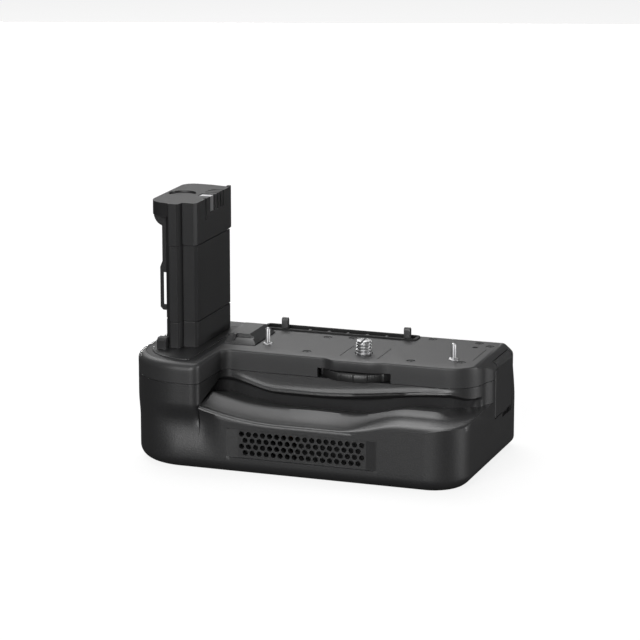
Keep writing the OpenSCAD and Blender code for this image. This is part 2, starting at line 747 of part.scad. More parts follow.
module column_sleeve() {
    loop_x = -col_left - 2.7;
    color(black) {
        difference() {
            union() {
                translate([0, 0, foot_top - seam_gap]) linear_extrude(seam_gap + 1)
                    polygon(column_outline(-0.4, 0.4));
                translate([0, 0, foot_top]) linear_extrude(sleeve_top - foot_top) polygon(column_outline());
            }
            box([core_low[0], core_low[1], 0], [core_high[0], core_high[1], sleeve_top + 1]);
        }
        // Loop beside the sleeve, which holds the camera's battery door
        along_y(loop_y, loop_y + loop_t) difference() {
            polygon([[0.4 - col_left, foot_top + 3], [1.2 + loop_x, foot_top + 3], [loop_x, foot_top + 4.2],
                [loop_x, foot_top + 20.5], [loop_x + 1, foot_top + 23], [loop_x + 1, sleeve_top],
                [0.4 - col_left, sleeve_top]]);
            polygon([[-col_left, foot_top + 5.2], [loop_x + 1.2, foot_top + 5.2],
                [loop_x + 1.2, foot_top + 18.4], [-col_left, foot_top + 18.4]]);
        }
    }
}

contact_pts = [[1.5, 5], [7.2, 1], [10.4, 1], [13.2, 1]];
contact_drop = 6.5;
module column_head() {
    lip_low = head_top - 5.6;
    color(black) difference() {
        union() {
            translate([0, 0, sleeve_top]) linear_extrude(seam_gap + 1) polygon(column_outline(-0.4, 0.4));
            translate([0, 0, sleeve_top + seam_gap]) linear_extrude(head_top - sleeve_top - seam_gap)
                polygon(column_outline(0.5));
            translate([0, 0, lip_low]) linear_extrude(head_top - lip_low) polygon(head_outline());
            // Rounded bracket under the overhang
            along_y(-col_front + 3, col_back - 4) intersection() {
                polygon([[0.5 - head_left, lip_low], [-col_left + 1, lip_low],
                    [-col_left + 1, lip_low - 9], [0.5 - head_left, lip_low - 9]]);
                polygon(concat(arc(-col_left, lip_low, head_left - col_left - 0.5, 180, 270, 10),
                    [[1 - col_left, lip_low - head_left + col_left + 0.5], [1 - col_left, lip_low + 1],
                        [0.5 - head_left, lip_low + 1]]));
            }
            // Rib at the back edge
            box([-col_right - 1.4, col_back, sleeve_top + 0.6],
                [-col_right, col_back + 1.6, head_top + 0.4]);
            along_y(loop_y, loop_y + loop_t) polygon([[-col_left - 1.7, sleeve_top],
                [0.4 - col_left, sleeve_top], [0.4 - col_left, lip_low], [-col_left - 1.7, lip_low]]);
        }
        // Recess in the top, slots for the contacts and the lead's room
        translate([-col_left + 1, 2.2, head_top - 0.8]) cylinder(r = 5.5, h = 2);
        for (c = contact_pts) box([-col_right - 5.4, c[0] - c[1]/2, head_top - contact_drop],
            [1 - col_right, c[0] + c[1]/2, head_top + 1]);
        box([-col_right - 1.2, -6.2, head_top - 9], [1 - col_right, -5.2, head_top + 1]);
        box([core_low[0], core_low[1], sleeve_top - 1], [core_high[0] - 4, core_high[1], head_top - 9.5]);
    }
}

module column_contacts() {
    color(steel) for (c = contact_pts) box(
        [-col_right - 5.4, c[0] - c[1]/2 + fit_gap, head_top - contact_drop],
        [-col_right - 0.6, c[0] + c[1]/2 - fit_gap, head_top - (c[1] > 2 ? 0.3 : 2.4)]);
}

module column_flex() {
    low = duct_top + 0.2;
    end_x = -8;
    color([0.45, 0.30, 0.12]) {
        box([flex_x, flex_y - flex_w/2, low], [flex_x + flex_t, flex_y + flex_w/2, head_top - 9.8]);
        box([flex_x, flex_y - flex_w/2, low], [end_x, flex_y + flex_w/2, low + flex_t]);
        box([end_x - flex_t, flex_y - flex_w/2, board_top], [end_x, flex_y + flex_w/2, low + flex_t]);
    }
}

module door_block() {
    left = 57.8;
    right = 45;
    top = 3.4;
    tier = 2;
    front = 3.5;
    rib_x = 2.2 - left;
    color(shell_grey) difference() {
        union() {
            along_x(-left, -right) polygon([[-front, 0], [20, 0], [20, top], [1.6, top], [1.6, tier],
                [2.9 - front, tier - 0.1], [-front, 0.3]]);
            along_x(rib_x, rib_x + 1.2) polygon([[1.7, 0], [1.7, top - 0.1], [0.2, top - 0.1],
                [0.5 - front, 0.8], [0.5 - front, 0]]);
        }
        // Sloping right side
        along_y(-5, 21) polygon([[-right - 4.2, top + 1], [-right - 4.2, top], [-right, 0.6],
            [1 - right, 0.6], [1 - right, top + 1]]);
    }
}

// Air intake
post_pts = [post_inset + 5.2 - strip_left, strip_right - post_inset];
window_span = post_pts[1] - post_pts[0] - 3;
window_pitch = window_span/strip_windows;

module intake_frame() {
    color(black) difference() {
        rounded_box([-strip_left, strip_front, -deck_t], [strip_right, strip_front + strip_w, strip_rise], 2);
        for (i = [0:strip_windows - 1])
            box([post_pts[0] + 1.5 + window_pitch*i + 0.6, strip_front + 2.4, -deck_t - 1],
                [post_pts[0] + 1.5 + window_pitch*(i + 1) - 0.6, strip_front + strip_w - 1.2, 1]);
        box([1.2 - strip_left, strip_front + 1.2, -0.6], [strip_right - 1.2, strip_front + strip_w - 1, 1]);
    }
}

module intake_posts() {
    color(shell_grey) for (x = post_pts) along_x(x - 1.35, x + 1.35) polygon(concat(
        [[strip_front + 1.3, -0.6], [strip_front + 3.5, -0.6]],
        arc(strip_front + 2.4, post_h - 1.1, 1.1, 0, 180, 8)));
}

// Way between the intake's two ducts
module duct_window() {
    box([mouth_x0 + duct_wall, mouth_y0 + duct_wall, duct_top - duct_wall - 1],
        [duct_x1 - duct_wall, duct_back - duct_wall, duct_top + duct_wall + 1]);
}

module intake_mouth() {
    w = duct_wall;
    color(black) difference() {
        box([mouth_x0, mouth_y0, duct_top], [mouth_x1, duct_back, -deck_t]);
        box([mouth_x0 + w, mouth_y0 + w, duct_top + w], [mouth_x1 - w, duct_back - w, 0]);
        duct_window();
    }
}

module intake_duct() {
    low = blower_top + 0.05;
    w = duct_wall;
    color(black) difference() {
        box([duct_x0, duct_front, low], [duct_x1, duct_back, duct_top]);
        box([duct_x0 + w, duct_front + w, low + w], [duct_x1 - w, duct_back - w, duct_top - w]);
        duct_window();
        translate([fan_x, fan_y, low - 1]) cylinder(r = inlet_r, h = 4);
    }
}

// Camera screw and lock wheel
module chassis_plate() {
    color(steel) difference() {
        intersection() {
            translate([0, 0, plate_low]) linear_extrude(plate_t)
                polygon(deck_outline(wall + 0.6, wall + 0.6));
            box([-pin_left - 5, -deck_front, plate_low], [inner_right - 0.6, deck_back, plate_top]);
        }
        box([-strip_left - 2, strip_front - 1.1, plate_low - 1],
            [strip_right + 1.3, deck_back, plate_top + 1]);
        translate([0, 0, plate_low - 1]) cylinder(r = bush_r + fit_gap/2, h = plate_t + 2);
        for (x = [-pin_left, pin_right]) translate([x, pin_y, plate_low - 1])
            cylinder(r = pin_r + fit_gap/2, h = plate_t + 2);
        for (p = deck_screw_pts) translate([p[0], p[1], plate_low - 1])
            cylinder(r = deck_screw_r + fit_gap/2, h = plate_t + 2);
        for (x = [-bracket_post[0], bracket_post[0]]) translate([x, bracket_post[1], plate_low - 1])
            cylinder(r = 0.7, h = plate_t + 2);
    }
}

module guide_pins() {
    color(steel) for (x = [-pin_left, pin_right]) translate([x, pin_y, 0]) rotate_extrude() polygon([
        [0, plate_low], [pin_r, plate_low], [pin_r, 0], [pin_r + 1.1, 0], [pin_r + 1.1, 0.3],
        [pin_r + 0.8, 0.5], [pin_r, 0.5], [pin_r, pin_h - 0.6], [pin_r - 0.35, pin_h], [0, pin_h]]);
}

module screw_bush() {
    color(brass) rotate_extrude() polygon([
        [screw_r + run_gap, plate_top], [bush_r, plate_top], [bush_r, plate_low],
        [bush_flange_r, plate_low], [bush_flange_r, bush_low], [screw_r + run_gap, bush_low]]);
}

module lock_screw() {
    color(steel) difference() {
        rotate_extrude() polygon([
            [0, bracket_low - ring_t - 0.6], [journal_r, bracket_low - ring_t - 0.6],
            [journal_r, wheel_top - wheel_t - 0.4],
            [screw_r, wheel_top - wheel_t - 0.4],
            [screw_r, -neck_h], [screw_r - neck_d, -neck_h], [screw_r - neck_d, 0], [screw_r, 0],
            [screw_r, screw_h - 0.6], [screw_r - 0.6, screw_h], [0, screw_h]]);
        box([-0.5, -screw_r - 1, screw_h - 0.9], [0.5, screw_r + 1, screw_h + 1]);
    }
}

module lock_wheel() {
    valley_r = wheel_r - 0.9;
    pitch = 360/wheel_teeth;
    color(black) difference() {
        union() {
            translate([0, 0, wheel_top - wheel_t]) linear_extrude(wheel_t) polygon([
                for (i = [0:wheel_teeth - 1]) for (p = [[-0.26, valley_r], [-0.2, wheel_r - 0.1],
                    [0, wheel_r], [0.2, wheel_r - 0.1], [0.26, valley_r], [0.5, valley_r - 0.1]])
                    let (a = (i + p[0])*pitch - 90 + tooth_turn) [p[1]*cos(a), p[1]*sin(a)]]);
            translate([0, 0, wheel_top - wheel_t - 0.4]) cylinder(r = 6, h = 1);
        }
        translate([0, 0, -20]) cylinder(r = screw_r + 0.02, h = 20);
        // Shallow dish inside the rim
        translate([0, 0, wheel_top - 0.8]) difference() {
            cylinder(r = wheel_r - 3, h = 2);
            translate([0, 0, -1]) cylinder(r = bush_flange_r, h = 4);
        }
    }
}

module wheel_bracket() {
    post_x = bracket_post[0];
    post_y = bracket_post[1];
    edge = bracket_edge;
    hub = journal_r + 3;
    color(steel) difference() {
        union() {
            translate([0, 0, bracket_low]) linear_extrude(bracket_t) polygon([
                [-hub, -hub], [hub, -hub], [post_x + edge, post_y - edge], [post_x + edge, post_y + edge],
                [-post_x - edge, post_y + edge], [-post_x - edge, post_y - edge]]);
            for (x = [-post_x, post_x]) translate([x, post_y, bracket_top - bracket_t/2])
                cylinder(r = bracket_post_r, h = plate_low - bracket_top + bracket_t/2);
        }
        translate([0, 0, bracket_low - 1]) cylinder(r = journal_r + run_gap, h = bracket_t + 2);
        for (x = [-post_x, post_x]) translate([x, post_y, bracket_low - 1])
            cylinder(r = 0.9, h = plate_low - bracket_low + 2);
    }
}

module bracket_screws() {
    color(steel) for (x = [-bracket_post[0], bracket_post[0]]) translate([x, bracket_post[1], 0]) {
        translate([0, 0, bracket_low - 0.8]) cylinder(r = 1.7, h = 0.8);
        translate([0, 0, bracket_low - 0.4]) cylinder(r = 0.65, h = plate_top - bracket_low + 0.3);
    }
}

module retaining_ring() {
    color(steel) translate([0, 0, bracket_low - ring_t - 0.05]) difference() {
        cylinder(r = 4, h = ring_t);
        translate([0, 0, -1]) cylinder(r = journal_r + 0.02, h = 3);
        box([-1, 0, -1], [1, 5, 3]);
    }
}

module tripod_socket() {
    color(brass) translate([socket_at[0], socket_at[1], -body_h]) difference() {
        union() {
            cylinder(r = socket_r, h = socket_h);
            translate([0, 0, wall]) cylinder(r = socket_r + 2, h = 1.5);
        }
        translate([0, 0, -1]) cylinder(r = screw_r, h = socket_h + 2);
    }
}

// Blower
// The scroll widens clockwise from the cut-off to its straight outlet on the right
scroll_a0 = -60;
function scroll(d) = concat(
    [[fan_x + scroll_r0*cos(scroll_a0) + d, outlet_y]],
    [for (i = [0:30]) let (a = 10*i, r = scroll_r0 + (scroll_r1 - scroll_r0)*a/300 - d)
        [fan_x + r*cos(scroll_a0 - a), fan_y + r*sin(scroll_a0 - a)]],
    [[fan_x + scroll_r1 - d, outlet_y]]
);

module blower_housing() {
    color(black) difference() {
        translate([0, 0, blower_low]) linear_extrude(blower_top - lid_t - blower_low) polygon(scroll(0));
        translate([0, 0, blower_low + duct_wall]) linear_extrude(30) polygon(scroll(duct_wall));
        box([fan_x + scroll_r0*cos(scroll_a0) + duct_wall, outlet_y - 1, blower_low + duct_wall],
            [fan_x + scroll_r1 - duct_wall, outlet_y + 3, 0]);
        translate([fan_x, fan_y, blower_low - 1]) cylinder(r = bearing_r + fit_gap/2, h = 4);
    }
}
bearing_r = fan_shaft_r + 1.5;

module blower_lid() {
    color(black) translate([0, 0, blower_top - lid_t]) difference() {
        linear_extrude(lid_t) polygon(scroll(0));
        translate([fan_x, fan_y, -1]) cylinder(r = inlet_r, h = lid_t + 2);
    }
}

fan_low = blower_low + duct_wall + 4;
fan_high = blower_top - lid_t - 0.8;
module impeller() {
    hub_r = fan_r*0.48;
    color(shell_grey) translate([fan_x, fan_y, 0]) difference() {
        union() {
            translate([0, 0, fan_low]) cylinder(r = fan_r - 0.4, h = 0.8);
            translate([0, 0, fan_low]) cylinder(r = hub_r, h = fan_high - fan_low - 1);
            translate([0, 0, fan_high - 0.8]) difference() {
                cylinder(r = fan_r, h = 0.8);
                translate([0, 0, -1]) cylinder(r = fan_r - 1.6, h = 3);
            }
            for (i = [0:fan_blades - 1]) rotate([0, 0, 360*i/fan_blades])
                translate([fan_r - 2.4, 0, fan_low]) rotate([0, 0, 35])
                    translate([-2.6, -0.3, 0]) cube([4.3, 0.6, fan_high - fan_low]);
        }
        translate([0, 0, fan_low - 1]) cylinder(r = fan_shaft_r + 0.02, h = 6);
    }
}

module fan_shaft() {
    color(steel) translate([fan_x, fan_y, blower_low + 0.3])
        cylinder(r = fan_shaft_r, h = fan_low + 4.6 - blower_low);
}

module fan_bearing() {
    color(brass) translate([fan_x, fan_y, blower_low + 0.05]) difference() {
        cylinder(r = bearing_r, h = duct_wall + 2.2);
        translate([0, 0, -1]) cylinder(r = fan_shaft_r + run_gap, h = 8);
    }
}

module fan_stator() {
    base = blower_low + duct_wall;
    color([0.55, 0.30, 0.15]) translate([fan_x, fan_y, base]) difference() {
        union() {
            cylinder(r = 4.6, h = 3.2);
            for (i = [0:5]) rotate([0, 0, 60*i]) translate([3, -1.2, 0.4]) cube([6.2, 2.4, 2.4]);
        }
        translate([0, 0, -1]) cylinder(r = bearing_r + fit_gap/2, h = 8);
    }
}

module outlet_duct() {
    in_x0 = fan_x + scroll_r0*cos(scroll_a0);
    in_x1 = fan_x + scroll_r1;
    front = wall + 1 - base_front;
    back = outlet_y - 0.1;
    w = duct_wall;
    color(black) translate([0, 0, floor_z]) difference() {
        linear_extrude(ceiling_z - 0.4 - floor_z) polygon([[vent_x0 - 1, front], [vent_x1 + 1, front],
            [vent_x1 + 1, front + 3], [in_x1, back], [in_x0, back], [vent_x0 - 1, front + 3]]);
        translate([0, 0, w]) linear_extrude(ceiling_z - 0.4 - floor_z - 2*w) polygon([
            [vent_x0 - 1 + w, front - 1], [vent_x1 + 1 - w, front - 1], [vent_x1 + 1 - w, front + 2.6],
            [in_x1 - w, back - 0.4], [in_x1 - w, back + 1], [in_x0 + w, back + 1], [in_x0 + w, back - 0.4],
            [vent_x0 - 1 + w, front + 2.6]]);
    }
}

// Battery bay and electronics
module bay_frame() {
    color(black) difference() {
        union() {
            box([bay_left, bay_front, floor_z], [bay_right, bay_front + bay_wall, bay_low_top]);
            box([bay_left, bay_front, floor_z], [bay_left + bay_wall, board_back, board_low]);
            box([bay_right - bay_wall, bay_front, floor_z], [bay_right, board_back, bay_low_top]);
            box([bay_right - bay_wall, room_edge(bay_right) + move_gap, floor_z],
                [bay_right, board_back, board_low]);
            for (p = board_screw_pts) translate([p[0], p[1], floor_z])
                cylinder(r = board_boss_r, h = board_low - floor_z);
        }
        for (p = board_screw_pts) translate([p[0], p[1], board_low - 5]) cylinder(r = 0.5, h = 6);
    }
}

module main_board() {
    right = inner_right - 0.2;
    color(board_green) difference() {
        union() {
            translate([0, 0, board_low]) linear_extrude(board_t) polygon([
                [bay_left, board_front], [room_corner_x - 0.5, board_front],
                [right, room_edge(right) + move_gap], [right, board_back], [bay_left, board_back]]);
            for (p = board_screw_pts) translate([p[0], p[1], board_low])
                cylinder(r = board_boss_r + 0.6, h = board_t);
        }
        for (p = board_screw_pts) translate([p[0], p[1], board_low - 1])
            cylinder(r = 0.85, h = board_t + 2);
    }
}

// Chips on the board: place, length along X and Y, height
chips = [[4, 19, 9, 4.5, 1.4], [18, 20, 7, 2.5, 1.2], [-8, 8, 4, 5, 1.6], [24, 2, 8, 3, 1.2],
    [-6, 23, 5, 2, 1], [12, 28, 6, 1.5, 1.8]];
module board_chips() {
    color(black) for (c = chips) translate([c[0], c[1], board_top]) cube([c[2], c[3], c[4]]);
}

module board_screws() {
    color(steel) for (p = board_screw_pts) translate([p[0], p[1], 0]) {
        translate([0, 0, board_top]) cylinder(r = 1.5, h = 0.9);
        translate([0, 0, board_low - 3.5]) cylinder(r = 0.45, h = board_t + 3.6);
    }
}

module network_port() {
    mouth_w = jack_w - 4;
    mouth_h = jack_top - jack_low - 3.4;
    color(steel) difference() {
        box([jack_x0, jack_y - jack_w/2, jack_low], [jack_x1, jack_y + jack_w/2, jack_top]);
        box([jack_x0 + 2, jack_y - mouth_w/2, jack_low + 2.2],
            [jack_x1 + 1, jack_y + mouth_w/2, jack_low + 2.2 + mouth_h]);
        box([jack_x0 + 8, jack_y - 2, jack_low + 0.8], [jack_x1 + 1, jack_y + 2, jack_low + 3]);
    }
}

module port_contacts() {
    mouth_top = jack_low + 2.2 + jack_top - jack_low - 3.4;
    color(brass) for (i = [0:7]) translate([0, jack_y + (i - 3.5)*1.02, 0]) along_y(-0.2, 0.2) polygon([
        [jack_x0 + 2, mouth_top], [jack_x0 + 2, mouth_top - 0.5], [jack_x0 + 5, mouth_top - 1.6],
        [jack_x0 + 5.4, mouth_top - 1.3], [jack_x0 + 3.4, mouth_top]]);
}

module port_cover() {
    color(shell_grey) difference() {
        union() {
            along_y(hinge_y + hinge_r + 0.8, cover_back) polygon(concat(cover_inside(), [
                cover_edge, slope_edge, [body_right, -slope_h - slope_lip[1]], [body_right, -cover_low]]));
            box([body_right - cover_t, hinge_y, -cover_low],
                [body_right, hinge_y + hinge_r + 1, barrel_top]);
            translate([hinge_x, hinge_y, -cover_low]) cylinder(r = hinge_r, h = barrel_top + cover_low);
        }
        translate([hinge_x, hinge_y, -cover_low - 1])
            cylinder(r = hinge_pin_r + run_gap, h = cover_low + 2);
    }
}

module port_hinge_pin() {
    color(steel) translate([hinge_x, hinge_y, -cover_low - 1.3])
        cylinder(r = hinge_pin_r, h = cover_low + barrel_top + 2.1);
}

module battery_tray() {
    color(black) difference() {
        box([tray_left, tray_front, tray_low], [tray_right, tray_back, tray_rail_top]);
        box([tray_left + tray_wall, cell_front, cell_low],
            [tray_right - tray_wall, tray_back - tray_wall, cell_top + 1]);
        // Gaps for the bay's terminals and the latch's cam, finger hole, and the latch's shaft
        box([terminal_x - terminal_half - 1, tray_front - 1, terminal_z - 4],
            [terminal_x + terminal_half + 1, cell_front + 1, cell_top]);
        box([tray_left - 1, cam_back - cam_t - move_gap, knob_z - cam_w/2 - move_gap],
            [tray_left + tray_wall + 1, cam_back + move_gap, cell_top]);
        translate([terminal_x, (cell_front + cell_back)/2, tray_low - 1]) cylinder(r = 9, h = 4);
        translate([knob_x, tray_back - 3, knob_z]) rotate([-90, 0, 0])
            cylinder(r = latch_shaft_r + run_gap, h = 6);
    }
}

module tray_face() {
    left = tray_left - 3;
    right = body_right - 2;
    low = 1.2 - body_h;
    high = window_top + 1.2;
    top_y = base_back + 0.5;
    out = base_back + face_out;
    color(shell_grey) difference() {
        along_x(left, right) polygon([[tray_back, low], [out - 1.2, low], [out, low + 1.6],
            [out + 0.3, low + 12], [out, high - 7], [top_y + 0.6, high - 1], [top_y, high],
            [tray_back, high]]);
        // Rounded ends, the knob's seat and the shaft's hole
        for (s = [[left, 1], [right, -1]]) translate([s[0], 0, low - 1]) linear_extrude(high - low + 2)
            polygon([[0, out + 1], [0, tray_back + 0.8], [s[1]*0.7, out - 0.7],
                [s[1]*2.2, out + 0.4], [s[1]*2.2, out + 1]]);
        translate([knob_x, out - knob_sink, knob_z]) rotate([-90, 0, 0])
            cylinder(r = knob_r + move_gap, h = 4);
        translate([knob_x, tray_back - 1, knob_z]) rotate([-90, 0, 0])
            cylinder(r = latch_shaft_r + run_gap, h = 6);
    }
}

module latch_knob() {
    seat = base_back + face_out - knob_sink + run_gap;
    color(black) translate([knob_x, 0, knob_z]) {
        translate([0, cam_back - cam_t, 0]) rotate([-90, 0, 0])
            cylinder(r = latch_shaft_r, h = seat - cam_back + cam_t + 0.2);
        translate([0, seat, 0]) rotate([-90, 0, 0]) difference() {
            cylinder(r = knob_r, h = 2);
            translate([0, 0, 0.7]) difference() {
                cylinder(r = knob_r - 1.2, h = 3);
                translate([-knob_r, -1.6, -1]) cube([2*knob_r, 3.2, 6]);
            }
        }
    }
}

module latch_cam() {
    color(steel) translate([knob_x, cam_back - cam_t, knob_z]) rotate([-90, 0, 0]) difference() {
        union() {
            cylinder(r = latch_shaft_r + 2, h = cam_t);
            translate([-cam_w/2, -cam_l, 0]) cube([cam_w, cam_l, cam_t]);
        }
        translate([0, 0, -1]) cylinder(r = latch_shaft_r + 0.02, h = cam_t + 2);
    }
}

module battery_terminals() {
    y0 = bay_front + bay_wall;
    color(brass) for (i = [0:3]) {
        x = terminal_x + (i - 1.5)*terminal_half/2;
        along_x(x - 0.8, x + 0.8) polygon([[y0, terminal_z + 3.2], [y0, terminal_z - 3.2],
            [y0 + 0.4, terminal_z - 3.2], [y0 + 1.4, terminal_z], [y0 + 0.4, terminal_z + 3.2]]);
    }
}

module deck_screws() {
    color(black) for (p = deck_screw_pts) translate([p[0], p[1], 0]) difference() {
        union() {
            translate([0, 0, -0.85]) cylinder(r = deck_head_r, h = 0.6);
            translate([0, 0, plate_low - 0.2]) cylinder(r = deck_screw_r, h = deck_t + plate_t - 0.6);
        }
        for (a = [0, 90]) rotate([0, 0, a]) box([-1, -0.2, -0.55], [1, 0.2, 1]);
    }
}

module base_screws() {
    color(black) for (p = base_screw_pts) translate([p[0], p[1], -body_h]) difference() {
        union() {
            translate([0, 0, 0.3]) cylinder(r = base_head_r, h = 0.5);
            translate([0, 0, 0.5]) cylinder(r = 1, h = 6.5);
        }
        for (a = [0, 90]) rotate([0, 0, a]) box([-1.2, -0.25, -1], [1.2, 0.25, 0.5]);
    }
}

lower_shell();
top_cover();
vent_grille();
column_platform();
column_foot();
column_sleeve();
column_head();
column_contacts();
column_flex();
door_block();
intake_frame();
intake_posts();
intake_mouth();
intake_duct();
chassis_plate();
guide_pins();
screw_bush();
lock_screw();
lock_wheel();
wheel_bracket();
bracket_screws();
retaining_ring();
tripod_socket();
blower_housing();
blower_lid();
impeller();
fan_shaft();
fan_bearing();
fan_stator();
outlet_duct();
bay_frame();
main_board();
board_chips();
board_screws();
network_port();
port_contacts();
port_cover();
port_hinge_pin();
battery_tray();
tray_face();
latch_knob();
latch_cam();
battery_terminals();
deck_screws();
base_screws();
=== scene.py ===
import json
import math

import bpy
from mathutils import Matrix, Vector


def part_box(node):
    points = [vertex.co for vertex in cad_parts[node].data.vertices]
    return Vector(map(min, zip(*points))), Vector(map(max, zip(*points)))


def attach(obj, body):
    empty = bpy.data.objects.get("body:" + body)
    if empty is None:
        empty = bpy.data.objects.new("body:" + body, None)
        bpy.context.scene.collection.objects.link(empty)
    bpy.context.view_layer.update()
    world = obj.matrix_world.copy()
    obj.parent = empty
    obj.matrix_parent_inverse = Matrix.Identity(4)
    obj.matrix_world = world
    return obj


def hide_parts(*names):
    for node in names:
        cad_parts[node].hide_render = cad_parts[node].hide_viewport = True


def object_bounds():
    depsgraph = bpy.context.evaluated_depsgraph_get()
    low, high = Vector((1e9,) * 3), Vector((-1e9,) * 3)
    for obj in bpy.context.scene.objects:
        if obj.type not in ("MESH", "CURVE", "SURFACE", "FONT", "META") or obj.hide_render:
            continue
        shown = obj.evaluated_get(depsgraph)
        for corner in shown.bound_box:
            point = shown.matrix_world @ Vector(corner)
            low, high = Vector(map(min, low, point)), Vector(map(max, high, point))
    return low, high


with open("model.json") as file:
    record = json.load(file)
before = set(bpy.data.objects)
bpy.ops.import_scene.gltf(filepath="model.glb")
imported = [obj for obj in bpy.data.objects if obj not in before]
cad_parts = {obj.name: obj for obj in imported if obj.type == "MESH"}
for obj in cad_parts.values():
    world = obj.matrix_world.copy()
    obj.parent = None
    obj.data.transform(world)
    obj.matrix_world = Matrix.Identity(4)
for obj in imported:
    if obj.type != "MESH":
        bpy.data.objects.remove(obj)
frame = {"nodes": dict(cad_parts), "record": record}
CAD_BOX = [list(corner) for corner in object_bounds()]

bl_info = {
    "name": "Camera Battery Grip",
    "version": (1, 0, 0),
    "blender": (4, 5, 0),
    "location": "3D View > Sidebar > Grip",
    "description": "Models and dresses a camera battery grip with a cooling fan",
    "category": "Object",
}

MM = 0.001

# Places on the deck and the underside, in millimetres
DECK_SCREWS = [(-22.2, 20), (-12.1, 22.2), (-22.3, -4.8), (21.3, -5.6), (19, 30.8),
               (38.7, 30.4), (44.3, 26.8), (40.8, -1.4)]
BASE_SCREWS = [(-78, -8), (-78, 26), (30, -31), (-56, -30)]
TRIPOD_AT = (0.0, -17.0)
LOCATING_HOLE = (38.9, 23.5)
STRIP_WINDOWS = 6
PANEL_LINES = [((-7.6, -7.7), (-7.6, 10)), ((8.1, -7.7), (8.1, 9.7)), ((44.3, 2.7), (44.3, 21))]
SLOPE_LIP = (0.7, 1.4)
SIDE_DRAFT = 0.3
PIN_FLANGE_R = 2.05
END_POST = 2.85

# Pocket of a deck screw as (radius, height)
SCREW_POCKET = [(0, -4), (0.85, -4), (0.85, -0.9), (1.7, -0.9), (1.7, -0.12), (1.95, 0.13), (1.95, 1),
                (0, 1)]

# Points along the turns of the plans, and where a profile's lip ends and its ledge lies
EDGE_STEPS = 12
BACK_STEPS = 6
LIP_END, LEDGE_START, LEDGE_END = 9, 27, 36

# Lip as (height above its edge, share of its flare)
LIP_BEAD = ((3, 0), (2.2, 0.23), (1.6, 0.7), (1.15, 0.9), (0.85, 0.78), (0.5, 0.95), (0.15, 1))
# Rim of the ledge as (distance from the front, height), beside the handgrip and at the right
NARROW_RIM = ((3.7, -0.3), (2.3, -0.05), (1.1, 0.02), (0.35, -0.2), (0, -0.85))
BROAD_RIM = ((9, 0.5), (6.5, 0.3), (4, -0.2), (1.5, -0.95), (0, -2.4))

# Mouldings: material, colour, (grain, fleck, roughness), bump, its depth in millimetres, specular
MOULDINGS = {
    "shell": ("grained_shell", "shell", (1900, 0.5, 0.41), 0.45, 0.08, 0.62),
    "deck": ("grained_deck", "deck", (2000, 0.45, 0.47), 0.35, 0.06, 0.45),
    "black": ("satin_black", "column", (2600, 0.25, 0.39), 0.2, 0.03, 0.27),
    "wheel": ("wheel_black", "wheel", (2400, 0.3, 0.42), 0.2, 0.03, 0.5),
    "board": ("lacquered_board", "board", (900, 0.5, 0.24), 0.1, 0.04, 0.5),
    "chip": ("chip_black", "chip", (3000, 0.3, 0.6), 0.15, 0.02, 0.2),
    "lead": ("film_lead", "lead", (600, 0.2, 0.26), 0.06, 0.02, 0.5),
}
# Metals: material, colour, (lines, roughness), bump, its depth in millimetres, metallic
METALS = {
    "steel": ("turned_steel", "steel", (9000, 0.42), 0.12, 0.02, 1.0),
    "screw_black": ("blackened_steel", "screw", (7000, 0.38), 0.12, 0.02, 0.6),
    "brass": ("plain_brass", "brass", (8000, 0.28), 0.12, 0.02, 1.0),
    "copper": ("wound_copper", "copper", (2600, 0.34), 0.5, 0.1, 1.0),
}

# Camera of the photo, in metres, degrees and millimetres
CAMERA_AT = (0.36893, -1.09413, 0.29064)
CAMERA_TURN, CAMERA_TILT = 19.5, 13.5
CAMERA_LENS = 168.75


def length(name, text, value):
    """A size of the grip, given in millimetres."""
    return bpy.props.FloatProperty(name=name, description=text, default=value*MM, unit="LENGTH")


def tint(name, text, value):
    """A colour of one finish."""
    return bpy.props.FloatVectorProperty(name=name, description=text, default=value, size=3,
                                         min=0.0, max=1.0, subtype="COLOR")


def power(name, text, value):
    """Power of a lamp in watts."""
    return bpy.props.FloatProperty(name=name, description=text, default=value, min=0.0, unit="POWER")


def share(name, text, value):
    """A share of full white."""
    return bpy.props.FloatProperty(name=name, description=text, default=value, min=0.0, max=1.0)


